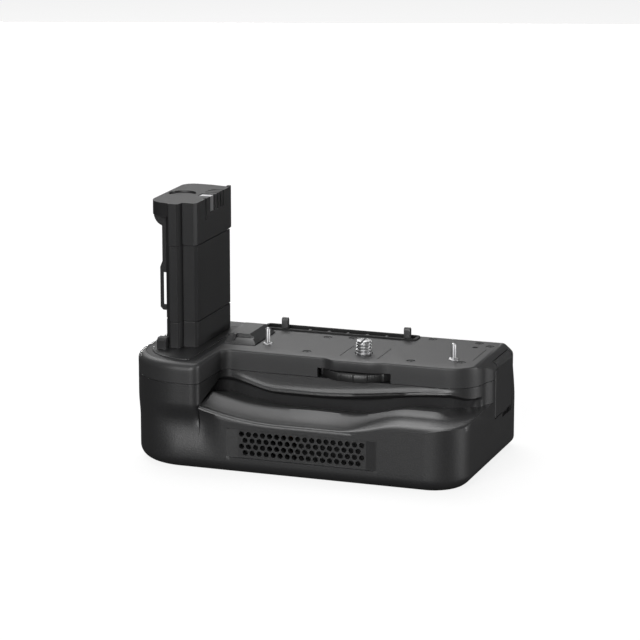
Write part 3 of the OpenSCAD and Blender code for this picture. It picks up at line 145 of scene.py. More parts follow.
class GripSizes(bpy.types.PropertyGroup):
    grip_left: length("Grip left", "Left end of the handgrip", 88)
    body_right: length("Body right", "Right end of the body", 52)
    corner_right: length("Corner right", "Right limit of the deck's front corner", 49.8)
    shoulder_y: length("Shoulder", "Shoulder between the front corner and the right end", 6.5)
    deck_back: length("Deck back", "Back edge of the deck", 35)
    back_swell: length("Back swell", "How far the lower back stands out", 3)
    deck_front: length("Deck front", "Front wall of the deck", 12.5)
    grip_front: length("Grip front", "Front of the handgrip", 40)
    base_front: length("Base front", "Front face of the base", 39.5)
    grip_side: length("Grip side", "Right side of the handgrip", 55.5)
    body_h: length("Body height", "Height of the body below the deck", 43)
    seam_depth: length("Seam", "Depth of the seam between cover and base", 8.2)
    seam_gap: length("Seam gap", "Half the width of the open seam", 0.1)
    wall: length("Wall", "Wall of both shells", 2)
    end_wall: length("End wall", "Right end wall", 4.5)
    edge_round: length("Edge rounding", "Rounding along the deck's top edge", 0.8)
    grip_round: length("Grip rounding", "Rounding along the handgrip's top edge", 2.9)
    plat_inset: length("Platform inset", "From the handgrip's outline to the platform", 3.1)
    plat_sink: length("Platform depth", "How deep the platform sits in the deck", 1)
    grip_corner_r: length("Grip corner", "Plan radius of the handgrip's corner", 23.5)
    grip_edge_r: length("Grip edge", "Plan radius of the handgrip's right edge", 3.5)
    inner_fillet_r: length("Inner fillet", "Plan fillet beside the handgrip", 4)
    deck_corner_r: length("Deck corner", "Plan radius of the deck's front-right corner", 13)
    base_corner_r: length("Base corner", "Plan radius of the base's front-right corner", 15)
    back_corner_r: length("Back corner", "Plan radius of the back corners", 2)
    foot_r: length("Foot rounding", "Rounding along the bottom edge", 5)
    slope_w: length("Slope width", "Width of the slope along the deck's right edge", 4.4)
    slope_h: length("Slope drop", "Drop of the slope along the deck's right edge", 3.1)
    roof_mid: length("Lip", "Lip of the groove below the deck, at its lowest", 15.5)
    roof_left: length("Lip left", "Rise of the lip towards the handgrip", 4.6)
    roof_right: length("Lip right", "Rise of the lip towards the right end", 5.1)
    roof_dip: length("Lip dip", "Drop of the lip at the right end", 2.4)
    ledge_mid: length("Ledge", "Ledge below the deck, at its lowest", 21.7)
    ledge_left: length("Ledge left", "Rise of the ledge towards the handgrip", 4.7)
    ledge_right: length("Ledge right", "Rise of the ledge towards the right end", 4.8)
    ledge_roll: length("Ledge roll", "Drop of the ledge at the right end", 0.2)
    groove_d: length("Groove", "Depth of the undercut behind the lip", 2.2)
    groove_lean: length("Groove lean", "How far the groove's back leans in", 1.2)
    lip: length("Lip flare", "How far the lip stands out", 0.65)
    ledge_crown: length("Ledge hump", "Height of the hump along the ledge", 2.3)
    hump_y: length("Hump place", "From the front of the base to the top of the hump", 15)
    dent_d: length("Hollow", "Depth of the hollow at the foot of the handgrip", 1.55)
    vent_recess: length("Vent recess", "Depth of the recess round the vent", 0.9)
    vent_ramp: length("Vent ramp", "Length of the recess's ramped ends", 4.5)
    bulge_d: length("Bulge", "How far the deck bulges over the wheel", 2.4)
    wheel_r: length("Wheel", "Radius of the lock wheel", 17.5)
    screw_r: length("Screw", "Radius of the camera screw", 3.175)
    screw_pitch: length("Thread pitch", "Pitch of the camera screw's thread", 1.27)


class GripColours(bpy.types.PropertyGroup):
    shell: tint("Shell", "Moulded grip and base", (0.0145, 0.0145, 0.015))
    deck: tint("Deck", "Moulded deck", (0.021, 0.021, 0.0215))
    column: tint("Column", "Smooth black mouldings", (0.0145, 0.0145, 0.015))
    wheel: tint("Wheel", "Lock wheel", (0.01, 0.01, 0.01))
    steel: tint("Steel", "Pins, screw and sheet steel", (0.4, 0.4, 0.405))
    screw: tint("Small screws", "Blackened screws", (0.02, 0.02, 0.021))
    brass: tint("Brass", "Bushes and contacts", (0.52, 0.36, 0.13))
    board: tint("Board", "Lacquered circuit board", (0.012, 0.075, 0.035))
    chip: tint("Chip", "Dull black of chips and the intake", (0.011, 0.011, 0.011))
    lead: tint("Lead", "Flat film lead", (0.25, 0.12, 0.03))
    copper: tint("Copper", "Wound wire", (0.42, 0.16, 0.06))


class GripStage(bpy.types.PropertyGroup):
    key_power: power("Key light", "Power of the overhead light", 14.5)
    strip_power: power("Strip light", "Power of the light at the right", 6.5)
    fill_power: power("Fill light", "Power of the front light", 20.0)
    back_power: power("Back light", "Power of the low light behind the grip", 9.0)
    sky: share("Room light", "Even light of the room", 0.03)
    mirrored: share("Mirrored white", "Share of the white room that gloss shows", 0.04)


class Sizes:
    """The grip's sizes in millimetres, with the values that follow from them."""

    def __init__(self, context):
        for key in GripSizes.__annotations__:
            setattr(self, key, getattr(context.scene.grip_sizes, key)/MM)
        self.grip_cx = self.grip_corner_r - self.grip_left
        self.grip_cy = self.grip_corner_r - self.grip_front
        self.deck_cx = self.corner_right - self.deck_corner_r
        self.deck_cy = self.deck_corner_r - self.deck_front
        self.base_cx = self.body_right - self.base_corner_r
        self.base_cy = self.base_corner_r - self.base_front
        self.base_back = self.deck_back + self.back_swell
        self.inner_right = self.body_right - self.end_wall
        low, high = node_box("vent_grille")
        self.vent_x0 = low[0] + 1
        self.vent_x1 = high[0] - 1
        self.vent_z0 = low[2] + 1
        self.vent_z1 = high[2]
        self.slot_top = node_box("lock_wheel")[1][2] + 0.3
        self.slot_half = math.sqrt((self.wheel_r + 1)**2 - (self.deck_front - self.wall)**2)


def node_box(node):
    """Lowest and highest corner of a CAD node in millimetres."""
    low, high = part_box(node)
    return [v/MM for v in low], [v/MM for v in high]


# Selection and mesh helpers

def new_object(name, data):
    """A new object in the scene."""
    obj = bpy.data.objects.new(name, data)
    bpy.context.scene.collection.objects.link(obj)
    return obj


def activate(obj):
    """Makes one object the only one that is selected."""
    if bpy.context.object and bpy.context.object.mode != "OBJECT":
        bpy.ops.object.mode_set(mode="OBJECT")
    bpy.ops.object.select_all(action="DESELECT")
    obj.select_set(True)
    bpy.context.view_layer.objects.active = obj


def edit_all(obj):
    """Opens an object's mesh with all of it selected."""
    activate(obj)
    bpy.ops.object.mode_set(mode="EDIT")
    bpy.ops.mesh.select_all(action="SELECT")


def tidy_mesh(obj):
    """Merges doubles and turns the faces outwards."""
    edit_all(obj)
    bpy.ops.mesh.remove_doubles(threshold=1e-7)
    bpy.ops.mesh.normals_make_consistent(inside=False)
    bpy.ops.object.mode_set(mode="OBJECT")
    return obj


def mesh_piece(name, points, faces):
    mesh = bpy.data.meshes.new(name)
    mesh.from_pydata([(x*MM, y*MM, z*MM) for x, y, z in points], [], faces)
    return tidy_mesh(new_object(name, mesh))


def stacked(name, rings, close=True):
    """A closed form through rings that have the same number of points."""
    n = len(rings[0])
    points = [p for ring in rings for p in ring]
    faces = [(i*n + j, i*n + (j + 1) % n, (i + 1)*n + (j + 1) % n, (i + 1)*n + j)
             for i in range(len(rings) - 1) for j in range(n)]
    if close:
        faces += [tuple(range(n))[::-1], tuple((len(rings) - 1)*n + j for j in range(n))]
    return mesh_piece(name, points, faces)


def prism(name, outline, z0, z1):
    return stacked(name, [[(x, y, z) for x, y in outline] for z in (z0, z1)])


def prism_y(name, outline, y0, y1):
    return stacked(name, [[(x, y, z) for x, z in outline] for y in (y0, y1)])


def placed(name):
    """Names the new primitive and applies its place."""
    obj = bpy.context.object
    obj.name = name
    bpy.ops.object.transform_apply(location=True, rotation=True, scale=True)
    return obj


def block(name, low, high):
    activate(frame["nodes"]["lower_shell"])
    centre = [(a + b)/2*MM for a, b in zip(low, high)]
    bpy.ops.object.select_all(action="DESELECT")
    bpy.ops.mesh.primitive_cube_add(size=1, location=centre)
    bpy.context.object.scale = [(b - a)*MM for a, b in zip(low, high)]
    return placed(name)


def rod(name, x, y, z0, z1, r, sides=48):
    activate(frame["nodes"]["lower_shell"])
    bpy.ops.object.select_all(action="DESELECT")
    bpy.ops.mesh.primitive_cylinder_add(vertices=sides, radius=r*MM, depth=(z1 - z0)*MM,
                                        location=(x*MM, y*MM, (z0 + z1)/2*MM))
    return placed(name)


def turned_ring(radius_at, z, x=0.0, y=0.0, sides=72, start=0.0):
    """A level ring whose radius follows from the share of a turn."""
    ring = []
    for j in range(sides):
        turn = j/sides
        a, r = 2*math.pi*turn + start, radius_at(turn)
        ring.append((x + r*math.cos(a), y + r*math.sin(a), z))
    return ring


def lathe(name, profile, x, y, steps=48):
    """Spins a profile of (radius, height) about an upright axis."""
    mesh = bpy.data.meshes.new(name)
    mesh.from_pydata([((x + r)*MM, y*MM, z*MM) for r, z in profile],
                     [(i, i + 1) for i in range(len(profile) - 1)], [])
    obj = new_object(name, mesh)
    edit_all(obj)
    bpy.ops.mesh.spin(steps=steps, angle=2*math.pi, center=(x*MM, y*MM, 0), axis=(0, 0, 1))
    bpy.ops.object.mode_set(mode="OBJECT")
    return tidy_mesh(obj)


def apply_modifier(obj, kind, **settings):
    modifier = obj.modifiers.new(kind.title(), kind)
    for key, value in settings.items():
        setattr(modifier, key, value)
    activate(obj)
    bpy.ops.object.modifier_apply(modifier=modifier.name)


def cut(obj, *cutters):
    for cutter in cutters:
        apply_modifier(obj, "BOOLEAN", operation="DIFFERENCE", solver="EXACT", object=cutter)
        bpy.data.objects.remove(cutter, do_unlink=True)


def join(name, parts):
    activate(parts[0])
    for part in parts[1:]:
        part.select_set(True)
    if len(parts) > 1:
        bpy.ops.object.join()
    obj = bpy.context.object
    obj.name = name
    return obj


def round_edges(obj, width, segments=2, angle=30):
    apply_modifier(obj, "BEVEL", width=width*MM, segments=segments, limit_method="ANGLE",
                   angle_limit=math.radians(angle), use_clamp_overlap=True, miter_outer="MITER_ARC")


def shade(obj, angle=35, weighted=True):
    activate(obj)
    bpy.ops.object.shade_smooth_by_angle(angle=math.radians(angle))
    if weighted:
        apply_modifier(obj, "WEIGHTED_NORMAL", keep_sharp=True, weight=60)


def from_node(node, name, width=0.0, segments=2, angle=30):
    """A merged copy of a CAD node, with its sharp edges rounded."""
    mesh = frame["nodes"][node].data.copy()
    mesh.materials.clear()
    obj = new_object(name, mesh)
    activate(obj)
    if mesh.has_custom_normals:
        bpy.ops.mesh.customdata_custom_splitnormals_clear()
    edit_all(obj)
    bpy.ops.mesh.remove_doubles(threshold=2e-6)
    bpy.ops.mesh.dissolve_limited(angle_limit=math.radians(0.4))
    bpy.ops.object.mode_set(mode="OBJECT")
    if width:
        round_edges(obj, width, segments, angle)
    return obj


def dress(context, obj, key, body, node):
    """Gives a finished piece its finish, parents it to its body and hides the node that it stands for.
    """
    obj.data.materials.clear()
    obj.data.materials.append(finish(context, key))
    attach(obj, body)
    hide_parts(node)


def rounded(context, pieces, ending, segments=2, angle=28):
    """Rounds and dresses CAD nodes, given as (node, width, finish, body)."""
    for node, width, key, body in pieces:
        piece = from_node(node, node + ending, width, segments, angle)
        shade(piece, 40)
        dress(context, piece, key, body, node)


# Forms of the shells

def arc(cx, cy, r, a0, a1, n):
    return [(cx + r*math.cos(math.radians(a0 + (a1 - a0)*i/n)),
             cy + r*math.sin(math.radians(a0 + (a1 - a0)*i/n))) for i in range(n + 1)]


def clamp01(t):
    return min(1.0, max(0.0, t))


def ease(t):
    u = clamp01(t)
    return u*u*(3 - 2*u)


def mix(a, b, t):
    return a + (b - a)*t


def spline(points, per):
    """A smooth line through points, with so many steps between them."""
    out = []
    for i in range(len(points) - 1):
        p0 = points[max(i - 1, 0)]
        p1, p2 = points[i], points[i + 1]
        p3 = points[min(i + 2, len(points) - 1)]
        for k in range(per):
            t = k/per
            out.append(tuple(0.5*(2*b + (c - a)*t + (2*a - 5*b + 4*c - d)*t*t
                                  + (3*b - a - 3*c + d)*t**3)
                             for a, b, c, d in zip(p0, p1, p2, p3)))
    return out + [points[-1]]


def grip_turn(s, d=0.0):
    """Plan of the handgrip from its left end to its right edge, set in by d."""
    edge_r = max(s.grip_edge_r - d, 0.4)
    edge_x = -s.grip_side - d - edge_r
    line = arc(s.grip_cx, s.grip_cy, s.grip_corner_r - d, 180, 270, 28)
    line += [(mix(s.grip_cx, edge_x, t), d - s.grip_front) for t in (0.25, 0.5, 0.75)]
    return line + arc(edge_x, d + edge_r - s.grip_front, edge_r, 270, 360, EDGE_STEPS)


def wall_xs(s):
    """Stations along the deck's front wall."""
    x0 = SIDE_DRAFT - s.grip_side + s.inner_fillet_r
    count = 84
    xs = [x0 + (s.deck_cx - x0)*i/count for i in range(1, count)]
    marks = [s.vent_x0 - s.vent_ramp, s.vent_x0, s.vent_x1, s.vent_x1 + s.vent_ramp]
    xs = [x for x in xs if min(abs(x - m) for m in marks) > 0.35]
    return sorted(xs + marks)


def shoulder(s, d=0.0):
    """Plan of the slanted shoulder from the deck's corner to the end face, set in by d."""
    line = []
    for t in [i/14 for i in range(1, 15)]:
        x = mix(s.corner_right, s.body_right, ease(mix(0.06, 1, t)))
        line.append((x - d, mix(0, s.shoulder_y, t)))
    return line


def deck_turn(s, d=0.0, swell=0.0):
    """Plan of the deck's front from the handgrip to the right end, set in by d."""
    fx = SIDE_DRAFT - s.grip_side + s.inner_fillet_r
    line = arc(fx, -s.deck_front - s.inner_fillet_r, s.inner_fillet_r + d, 180, 90, 12)
    line += [(x, d - s.deck_front - swell*bulge(s, x)) for x in wall_xs(s)]
    line += arc(s.deck_cx, s.deck_cy, s.deck_corner_r - d, 270, 355, 24)
    return line + shoulder(s, d)


def bulge(s, x):
    """How far the deck's front wall stands out over the wheel."""
    return s.bulge_d*ease((s.slot_half - 2.6 + x)/5)*ease((s.slot_half - 0.5 - x)/8.5)


def deck_ring(s, d=0.0, swell=0.0):
    """Closed plan of the deck, set in by d."""
    r = max(s.back_corner_r - d, 0.3)
    return (grip_turn(s, d) + deck_turn(s, d, swell)
            + arc(s.body_right - d - r, s.deck_back - d - r, r, 0, 90, BACK_STEPS)
            + arc(d + r - s.grip_left, s.deck_back - d - r, r, 90, 180, BACK_STEPS))


def edge_ring(s, a):
    """One ring of the deck's rounded top edge, which is rounder along the handgrip."""
    in_deck, in_grip = s.edge_round*(1 - math.cos(a)), s.grip_round*(1 - math.cos(a))
    turned = len(grip_turn(s))
    bend = turned - EDGE_STEPS - 1
    near, far = deck_ring(s, in_deck, 1), deck_ring(s, in_grip, 1)
    ring = []
    for i, ((x0, y0), (x1, y1)) in enumerate(zip(near, far)):
        w = 1.0 if i < bend or i >= len(near) - BACK_STEPS - 1 else 0.0
        if bend <= i < turned:
            w = 1 - 0.6*(i - bend)/EDGE_STEPS
        drop = mix(s.edge_round, s.grip_round, w)*(1 - math.sin(a))
        ring.append((mix(x0, x1, w), mix(y0, y1, w), -drop))
    return ring


def roof_z(s, x):
    """Height of the lip's edge."""
    return (-s.roof_mid + s.roof_left*ease((-32 - x)/(s.grip_side - 32.5))
            + s.roof_right*ease((x + 18)/66) - s.roof_dip*ease((x - 39)/9))


def ledge_z(s, x):
    """Height of the ledge."""
    return (-s.ledge_mid + s.ledge_left*clamp01((-22 - x)/(s.grip_side - 22.5))**2
            + s.ledge_right*ease((x - 2)/26) - s.ledge_roll*ease((x + 16 - s.body_right)/12))


def base_y(s, x, d=0.0):
    """Front of the base, set in by d."""
    if x < s.grip_cx:
        return s.grip_cy - math.sqrt(max(0, (s.base_front + s.grip_cy - d)**2 - (x - s.grip_cx)**2))
    if x > s.base_cx:
        return s.base_cy - math.sqrt(max(0, (s.base_corner_r - d)**2 - (x - s.base_cx)**2))
    return d - s.base_front


def back_y(s, x):
    """Back edge of the deck."""
    r = s.back_corner_r
    past = max(0, x - s.body_right + r, r - s.grip_left - x)
    return s.deck_back - r + math.sqrt(max(0, r*r - past**2))


def hump(x):
    """How much of the ledge's hump is left towards the right end."""
    return ease((46 - x)/9)


def groove_upper(s, x, yw, inward=(0.0, 1.0)):
    """Front profile from the seam over the lip, the groove and the ledge to the rim."""
    fade = ease((s.corner_right - 0.05 - x)/1.2)
    zr, zl, yl = roof_z(s, x), ledge_z(s, x), base_y(s, x)
    top = -s.seam_depth - s.seam_gap
    wide = ease((x - 2)/16)
    crown = zl + s.ledge_crown*hump(x) + 0.9*ease(1 - abs(x + 12)/34)
    crest_y = min(yl + s.hump_y, yw - 3)
    shelf_y = min(yl + mix(5, 10.5, wide), crest_y - 2)
    shelf_z = zl + mix(-0.2, 0.5*hump(x), wide)
    flare = s.lip*ease((44 - x)/10)*ease((x + 52)/6)*mix(0.5, 1, ease((x + 40)/45))
    under_wheel = 1 - ease((x + 1)/4)*ease((22 - x)/4)
    corner = 1 - 0.55*ease((x - 36)/9)
    nx, ny = inward
    fit = min(1.0, (top - zr)/3.4)
    line = [(x, yw, top), (x, yw, top - 0.15*fit), (x, yw, mix(top, zr + 3*fit, 0.6))]
    for up, bead in LIP_BEAD:
        out = flare*bead*(under_wheel if up < 0.7 else 1)
        line.append((x - nx*out, yw - ny*out, zr + up*fit))
    for q in [i/16 for i in range(17)]:
        deep = fade*(s.groove_d*ease((q - 0.02)/0.3) + s.groove_lean*q)
        deep -= under_wheel*flare*(1 - ease(q/0.2))
        line.append((x + nx*deep, yw + ny*deep, mix(zr, zl, q)))
    floor_y = yw + ny*(s.groove_d + s.groove_lean)*fade
    line += [(x, mix(floor_y, crest_y, t), mix(zl, crown, ease(t)))
             for t in (0.05, 0.35, 0.65, 0.88, 1)]
    line += [(x, mix(crest_y, shelf_y, t), mix(shelf_z, crown, (1 - t)**1.8))
             for t in (0.15, 0.3, 0.5, 0.7, 0.86)]
    rim = [(shelf_y, shelf_z)]
    for (a, b), (c, d) in zip(NARROW_RIM, BROAD_RIM):
        rim.append((min(yl + mix(a, c, wide), shelf_y - 0.1), zl + mix(b, d*corner, wide)))
    return line + [(x, y, z) for y, z in spline(rim, 4)]


def hollow(s, x, z):
    """Hollow below the front of the handgrip."""
    reach = ease((x + s.grip_side + 24)/14)*ease((10 - s.grip_side - x)/9)
    return s.dent_d*reach*(ease((-16 - z)/7.5) if z > -23.5 else 1 - ease((-23.5 - z)/14))


def grip_upper(s, x, yw, heights):
    """Front profile through the handgrip at the same heights."""
    yl = base_y(s, x)
    return [(x, mix(yw, yl, ease((-17 - z)/9.5)) + hollow(s, x, z), z) for z in heights]


def recess(s, x):
    """Depth of the vent's recess."""
    return s.vent_recess*min(clamp01((x - s.vent_x0 + s.vent_ramp)/s.vent_ramp),
                             clamp01((s.vent_x1 + s.vent_ramp - x)/s.vent_ramp))


def lower_profile(s, x, upper):
    """One closed section of the base across X."""
    yl, ykl = base_y(s, x), back_y(s, x) + s.back_swell
    r = s.foot_r
    start, end = upper[-1][2], r - s.body_h
    top, low = s.vent_z1 + 0.5, s.vent_z0 - 0.5
    if x > -s.grip_side + 5 and start > top + 0.5:
        rows = [(mix(start, top + 0.3, t), 0) for t in (0.4, 0.75)]
        rows += [(top + 0.3, 0), (top + 0.08, 0), (top - 0.08, 1), (top - 0.4, 1)]
        rows += [(mix(top, low, t), 1) for t in (0.25, 0.5, 0.75)]
        rows += [(low + 0.4, 1), (low + 0.08, 1), (low - 0.08, 0)]
    else:
        rows = [(mix(start, end, t/13), 0) for t in range(1, 13)]
    rec = recess(s, x)
    room = min(r, s.body_right - x, x + s.grip_left)
    steps = [math.acos(clamp01(1 - room/r))*i/10 for i in range(11)]
    foot = [(r*(1 - math.cos(a)), end - r*math.sin(a)) for a in steps]
    back_top = -s.seam_depth - s.seam_gap
    inset, bottom = foot[-1]
    section = [(yl + rec*on + hollow(s, x, z), z) for z, on in rows]
    section += [(base_y(s, x, d), z) for d, z in foot]
    section += [(mix(base_y(s, x, inset), ykl - inset, t), bottom) for t in (0.33, 0.67)]
    section += [(ykl - d, z) for d, z in reversed(foot)]
    section += spline([(ykl, -27), (ykl - 0.05, -20.5), (ykl - s.back_swell/2, -14),
                       (ykl - s.back_swell + 0.1, -9.2), (ykl - s.back_swell, back_top)], 3)
    return upper + [(x, y, z) for y, z in section]


def grip_heights(line):
    """Heights for the handgrip's profile, which gather where the groove runs out."""
    top, roof, ledge = line[0][2], line[LIP_END][2], line[LEDGE_START][2]
    tip = ledge + 0.6
    heights = []
    for i, (_, _, z) in enumerate(line):
        if i <= LIP_END:
            z = mix(top, tip, (z - top)/(roof - top))
        elif i < LEDGE_START:
            z = mix(tip, ledge, (z - roof)/(ledge - roof))
        heights.append(min(z, heights[-1] - 0.02) if heights else z)
    tail, low = heights[LEDGE_END], -27.5
    count = len(heights) - LEDGE_END - 1
    return heights[:LEDGE_END + 1] + [mix(tail, low, i/count) for i in range(1, count + 1)]


def lower_body(s):
    """Outside of the base as a loft along X."""
    turn = deck_turn(s)
    fx = SIDE_DRAFT - s.grip_side + s.inner_fillet_r
    fy = -s.deck_front - s.inner_fillet_r
    uppers = []
    for x, y in turn:
        inward = (0.0, 1.0)
        if x < fx:
            inward = ((x - fx)/s.inner_fillet_r, (y - fy)/s.inner_fillet_r)
        elif s.deck_cx < x < s.corner_right:
            inward = ((s.deck_cx - x)/s.deck_corner_r, (s.deck_cy - y)/s.deck_corner_r)
        uppers.append(groove_upper(s, x, y, inward))
    right = [lower_profile(s, x, upper) for (x, y), upper in zip(turn, uppers)]
    heights = grip_heights(uppers[0])
    left = [lower_profile(s, x, grip_upper(s, x, y, heights)) for x, y in grip_turn(s)]
    side = []
    for t in [i/14 for i in range(1, 14)]:
        side.append([tuple(mix(p, q, t) for p, q in zip(a, b)) for a, b in zip(left[-1], right[0])])
    return stacked("lower_shell_form", left + side + right)


def room_plan(s, inset):
    """Plan of the room inside a shell."""
    right = s.inner_right
    plan = [(min(x, right), y) for x, y in grip_turn(s, inset) + deck_turn(s, inset)]
    plan = [p for i, p in enumerate(plan) if i == 0 or math.dist(p, plan[i - 1]) > 0.02]
    back = s.deck_back - s.wall
    return plan + [(right, back), (inset - s.grip_left, back)]


def base_plan(s, inset):
    """Plan of the room inside the base."""
    plan = arc(s.grip_cx, s.grip_cy, s.base_front + s.grip_cy - inset, 180, 270, 20)
    plan += [(min(x, s.inner_right), y)
             for x, y in arc(s.base_cx, s.base_cy, s.base_corner_r - inset, 270, 345, 14)]
    back = s.base_back - inset
    return plan + [(s.inner_right, back), (inset - s.grip_left, back)]


def cover_slope(s):
    """Points of the slope along the deck's right edge as (x, z)."""
    x0 = s.body_right - s.slope_w
    return (x0, 0), (s.body_right - SLOPE_LIP[0], -s.slope_h), (s.body_right, -s.slope_h - SLOPE_LIP[1])


def port_cutters(s):
    """Socket window, the port cover's recess and the bed of its hinge."""
    jack_low, jack_high = node_box("network_port")
    pin_low, pin_high = node_box("port_hinge_pin")
    low, high = node_box("port_cover")
    px, py = (pin_low[0] + pin_high[0])/2, (pin_low[1] + pin_high[1])/2
    barrel = pin_high[2] - 0.8
    (x0, z0), (x1, z1) = cover_slope(s)[:2]
    run = math.hypot(x1 - x0, z1 - z0)
    tx, tz = (x1 - x0)/run, (z1 - z0)/run
    nx, nz = -tz, tx
    gap, thick = 0.3, 1.4
    ex, ez = mix(x0, x1, 0.65), mix(z0, z1, 0.65)
    deep = thick + gap
    plan = [(s.body_right - deep, low[2] - gap), (s.body_right - deep, barrel - 0.2),
            (x1 - deep*nx, z1 - deep*nz), (ex - deep*nx - gap*tx, ez - deep*nz - gap*tz),
            (ex - gap*tx + 2*nx, ez - gap*tz + 2*nz), (s.body_right + 2, 0),
            (s.body_right + 2, low[2] - gap)]
    return [
        block("socket_window", (s.inner_right - 1, jack_low[1] - 0.1, jack_low[2] - 0.1),
              (s.body_right, jack_high[1] + 0.1, jack_high[2] + 0.1)),
        prism_y("cover_recess", plan, py + 1.2, high[1] + gap),
        block("hinge_bed", (px - 1.4, low[1] - 0.4, low[2] - 0.4),
              (s.body_right + 1, py + 1.4, barrel + 0.3)),
    ]


# Finishes

def new_group(name, inputs):
    """A group with the given inputs that puts out colour, roughness and height."""
    tree = bpy.data.node_groups.new(name, "ShaderNodeTree")
    tree.interface.new_socket("Colour", in_out="INPUT", socket_type="NodeSocketColor")
    for label, value in inputs:
        socket = tree.interface.new_socket(label, in_out="INPUT", socket_type="NodeSocketFloat")
        socket.default_value = value
    tree.interface.new_socket("Colour", in_out="OUTPUT", socket_type="NodeSocketColor")
    for label in ("Roughness", "Height"):
        tree.interface.new_socket(label, in_out="OUTPUT", socket_type="NodeSocketFloat")
    return tree, tree.nodes.new("NodeGroupInput"), tree.nodes.new("NodeGroupOutput")


def add_node(tree, kind, **settings):
    node = tree.nodes.new(kind)
    for key, value in settings.items():
        setattr(node, key, value)
    return node


def math_node(tree, operation, a, b):
    node = add_node(tree, "ShaderNodeMath", operation=operation)
    for socket, value in zip(node.inputs, (a, b)):
        if isinstance(value, (int, float)):
            socket.default_value = value
        else:
            tree.links.new(value, socket)
    return node.outputs[0]


def noise(tree, vector, scale, detail=2.0, rough=0.5):
    node = add_node(tree, "ShaderNodeTexNoise")
    node.inputs["Detail"].default_value = detail
    node.inputs["Roughness"].default_value = rough
    tree.links.new(vector, node.inputs["Vector"])
    if isinstance(scale, (int, float)):
        node.inputs["Scale"].default_value = scale
    else:
        tree.links.new(scale, node.inputs["Scale"])
    return node.outputs["Fac"]


def fill_group(tree, given, out, gain, rough, height):
    """Ties the scaled colour, the roughness and the height to a group's outputs."""
    tone = add_node(tree, "ShaderNodeVectorMath", operation="SCALE")
    for source, target in ((given.outputs["Colour"], tone.inputs[0]), (gain, tone.inputs["Scale"]),
                           (tone.outputs[0], out.inputs["Colour"]), (rough, out.inputs["Roughness"]),
                           (height, out.inputs["Height"])):
        tree.links.new(source, target)
    return tree


def moulded_grain():
    """Fine spark-eroded grain with faint flow marks, for all mouldings."""
    name = "moulded_grain"
    if name in bpy.data.node_groups:
        return bpy.data.node_groups[name]
    tree, given, out = new_group(name, [("Grain", 1900.0), ("Fleck", 0.3), ("Roughness", 0.5)])
    place = add_node(tree, "ShaderNodeTexCoord").outputs["Object"]
    grain = noise(tree, place, given.outputs["Grain"], 1.5, 0.6)
    flow = noise(tree, place, 45.0, 3.0)
    pits = add_node(tree, "ShaderNodeTexVoronoi")
    tree.links.new(place, pits.inputs["Vector"])
    tree.links.new(given.outputs["Grain"], pits.inputs["Scale"])
    centred = math_node(tree, "SUBTRACT", grain, 0.5)
    fleck = math_node(tree, "MULTIPLY", centred, given.outputs["Fleck"])
    drift = math_node(tree, "MULTIPLY", math_node(tree, "SUBTRACT", flow, 0.5), 0.22)
    gain = math_node(tree, "ADD", math_node(tree, "ADD", fleck, drift), 1.0)
    rough = math_node(tree, "ADD", given.outputs["Roughness"],
                      math_node(tree, "MULTIPLY", math_node(tree, "ADD", centred, drift), 0.16))
    height = math_node(tree, "ADD", math_node(tree, "MULTIPLY", grain, 0.7),
                       math_node(tree, "MULTIPLY", pits.outputs["Distance"], 0.5))
    return fill_group(tree, given, out, gain, rough, height)


def drawn_metal():
    """Fine turning lines with faint smears, for all metals."""
    name = "drawn_metal"
    if name in bpy.data.node_groups:
        return bpy.data.node_groups[name]
    tree, given, out = new_group(name, [("Lines", 9000.0), ("Roughness", 0.25)])
    coord = add_node(tree, "ShaderNodeTexCoord").outputs["Object"]
    stretch = add_node(tree, "ShaderNodeMapping")
    stretch.inputs["Scale"].default_value = (0.03, 0.03, 1.0)
    tree.links.new(coord, stretch.inputs["Vector"])
    lines = noise(tree, stretch.outputs["Vector"], given.outputs["Lines"], 2.0)
    smear = noise(tree, coord, 260.0, 3.0)
    streak = math_node(tree, "MULTIPLY", math_node(tree, "SUBTRACT", smear, 0.5), 0.3)
    gain = math_node(tree, "ADD", streak,
                     math_node(tree, "ADD", math_node(tree, "MULTIPLY", lines, 0.16), 0.92))
    rough = math_node(tree, "ADD", given.outputs["Roughness"],
                      math_node(tree, "MULTIPLY", math_node(tree, "SUBTRACT", smear, 0.4), 0.25))
    return fill_group(tree, given, out, gain, rough, lines)


def finish(context, key):
    """The material of that name, whose colour, roughness and bump come from a shared group."""
    metal = key in METALS
    name, colour, values, bump, depth, last = (METALS if metal else MOULDINGS)[key]
    if name in bpy.data.materials:
        return bpy.data.materials[name]
    colour = (*getattr(context.scene.grip_colours, colour), 1)
    material = bpy.data.materials.new(name)
    material.use_nodes = True
    material.diffuse_color = colour
    tree = material.node_tree
    shader = tree.nodes["Principled BSDF"]
    shader.inputs["Metallic"].default_value = last if metal else 0.0
    shader.inputs["Specular IOR Level"].default_value = 0.5 if metal else last
    source = add_node(tree, "ShaderNodeGroup", node_tree=drawn_metal() if metal else moulded_grain())
    source.inputs["Colour"].default_value = colour
    labels = ("Lines", "Roughness") if metal else ("Grain", "Fleck", "Roughness")
    for label, value in zip(labels, values):
        source.inputs[label].default_value = value
    relief = add_node(tree, "ShaderNodeBump")
    relief.inputs["Strength"].default_value = bump
    relief.inputs["Distance"].default_value = depth*MM
    tree.links.new(source.outputs["Colour"], shader.inputs["Base Color"])
    tree.links.new(source.outputs["Roughness"], shader.inputs["Roughness"])
    tree.links.new(source.outputs["Height"], relief.inputs["Height"])
    tree.links.new(relief.outputs["Normal"], shader.inputs["Normal"])
    return material


class GripOperator:
    """Shared by the grip's operators."""
    bl_options = {"REGISTER", "UNDO"}


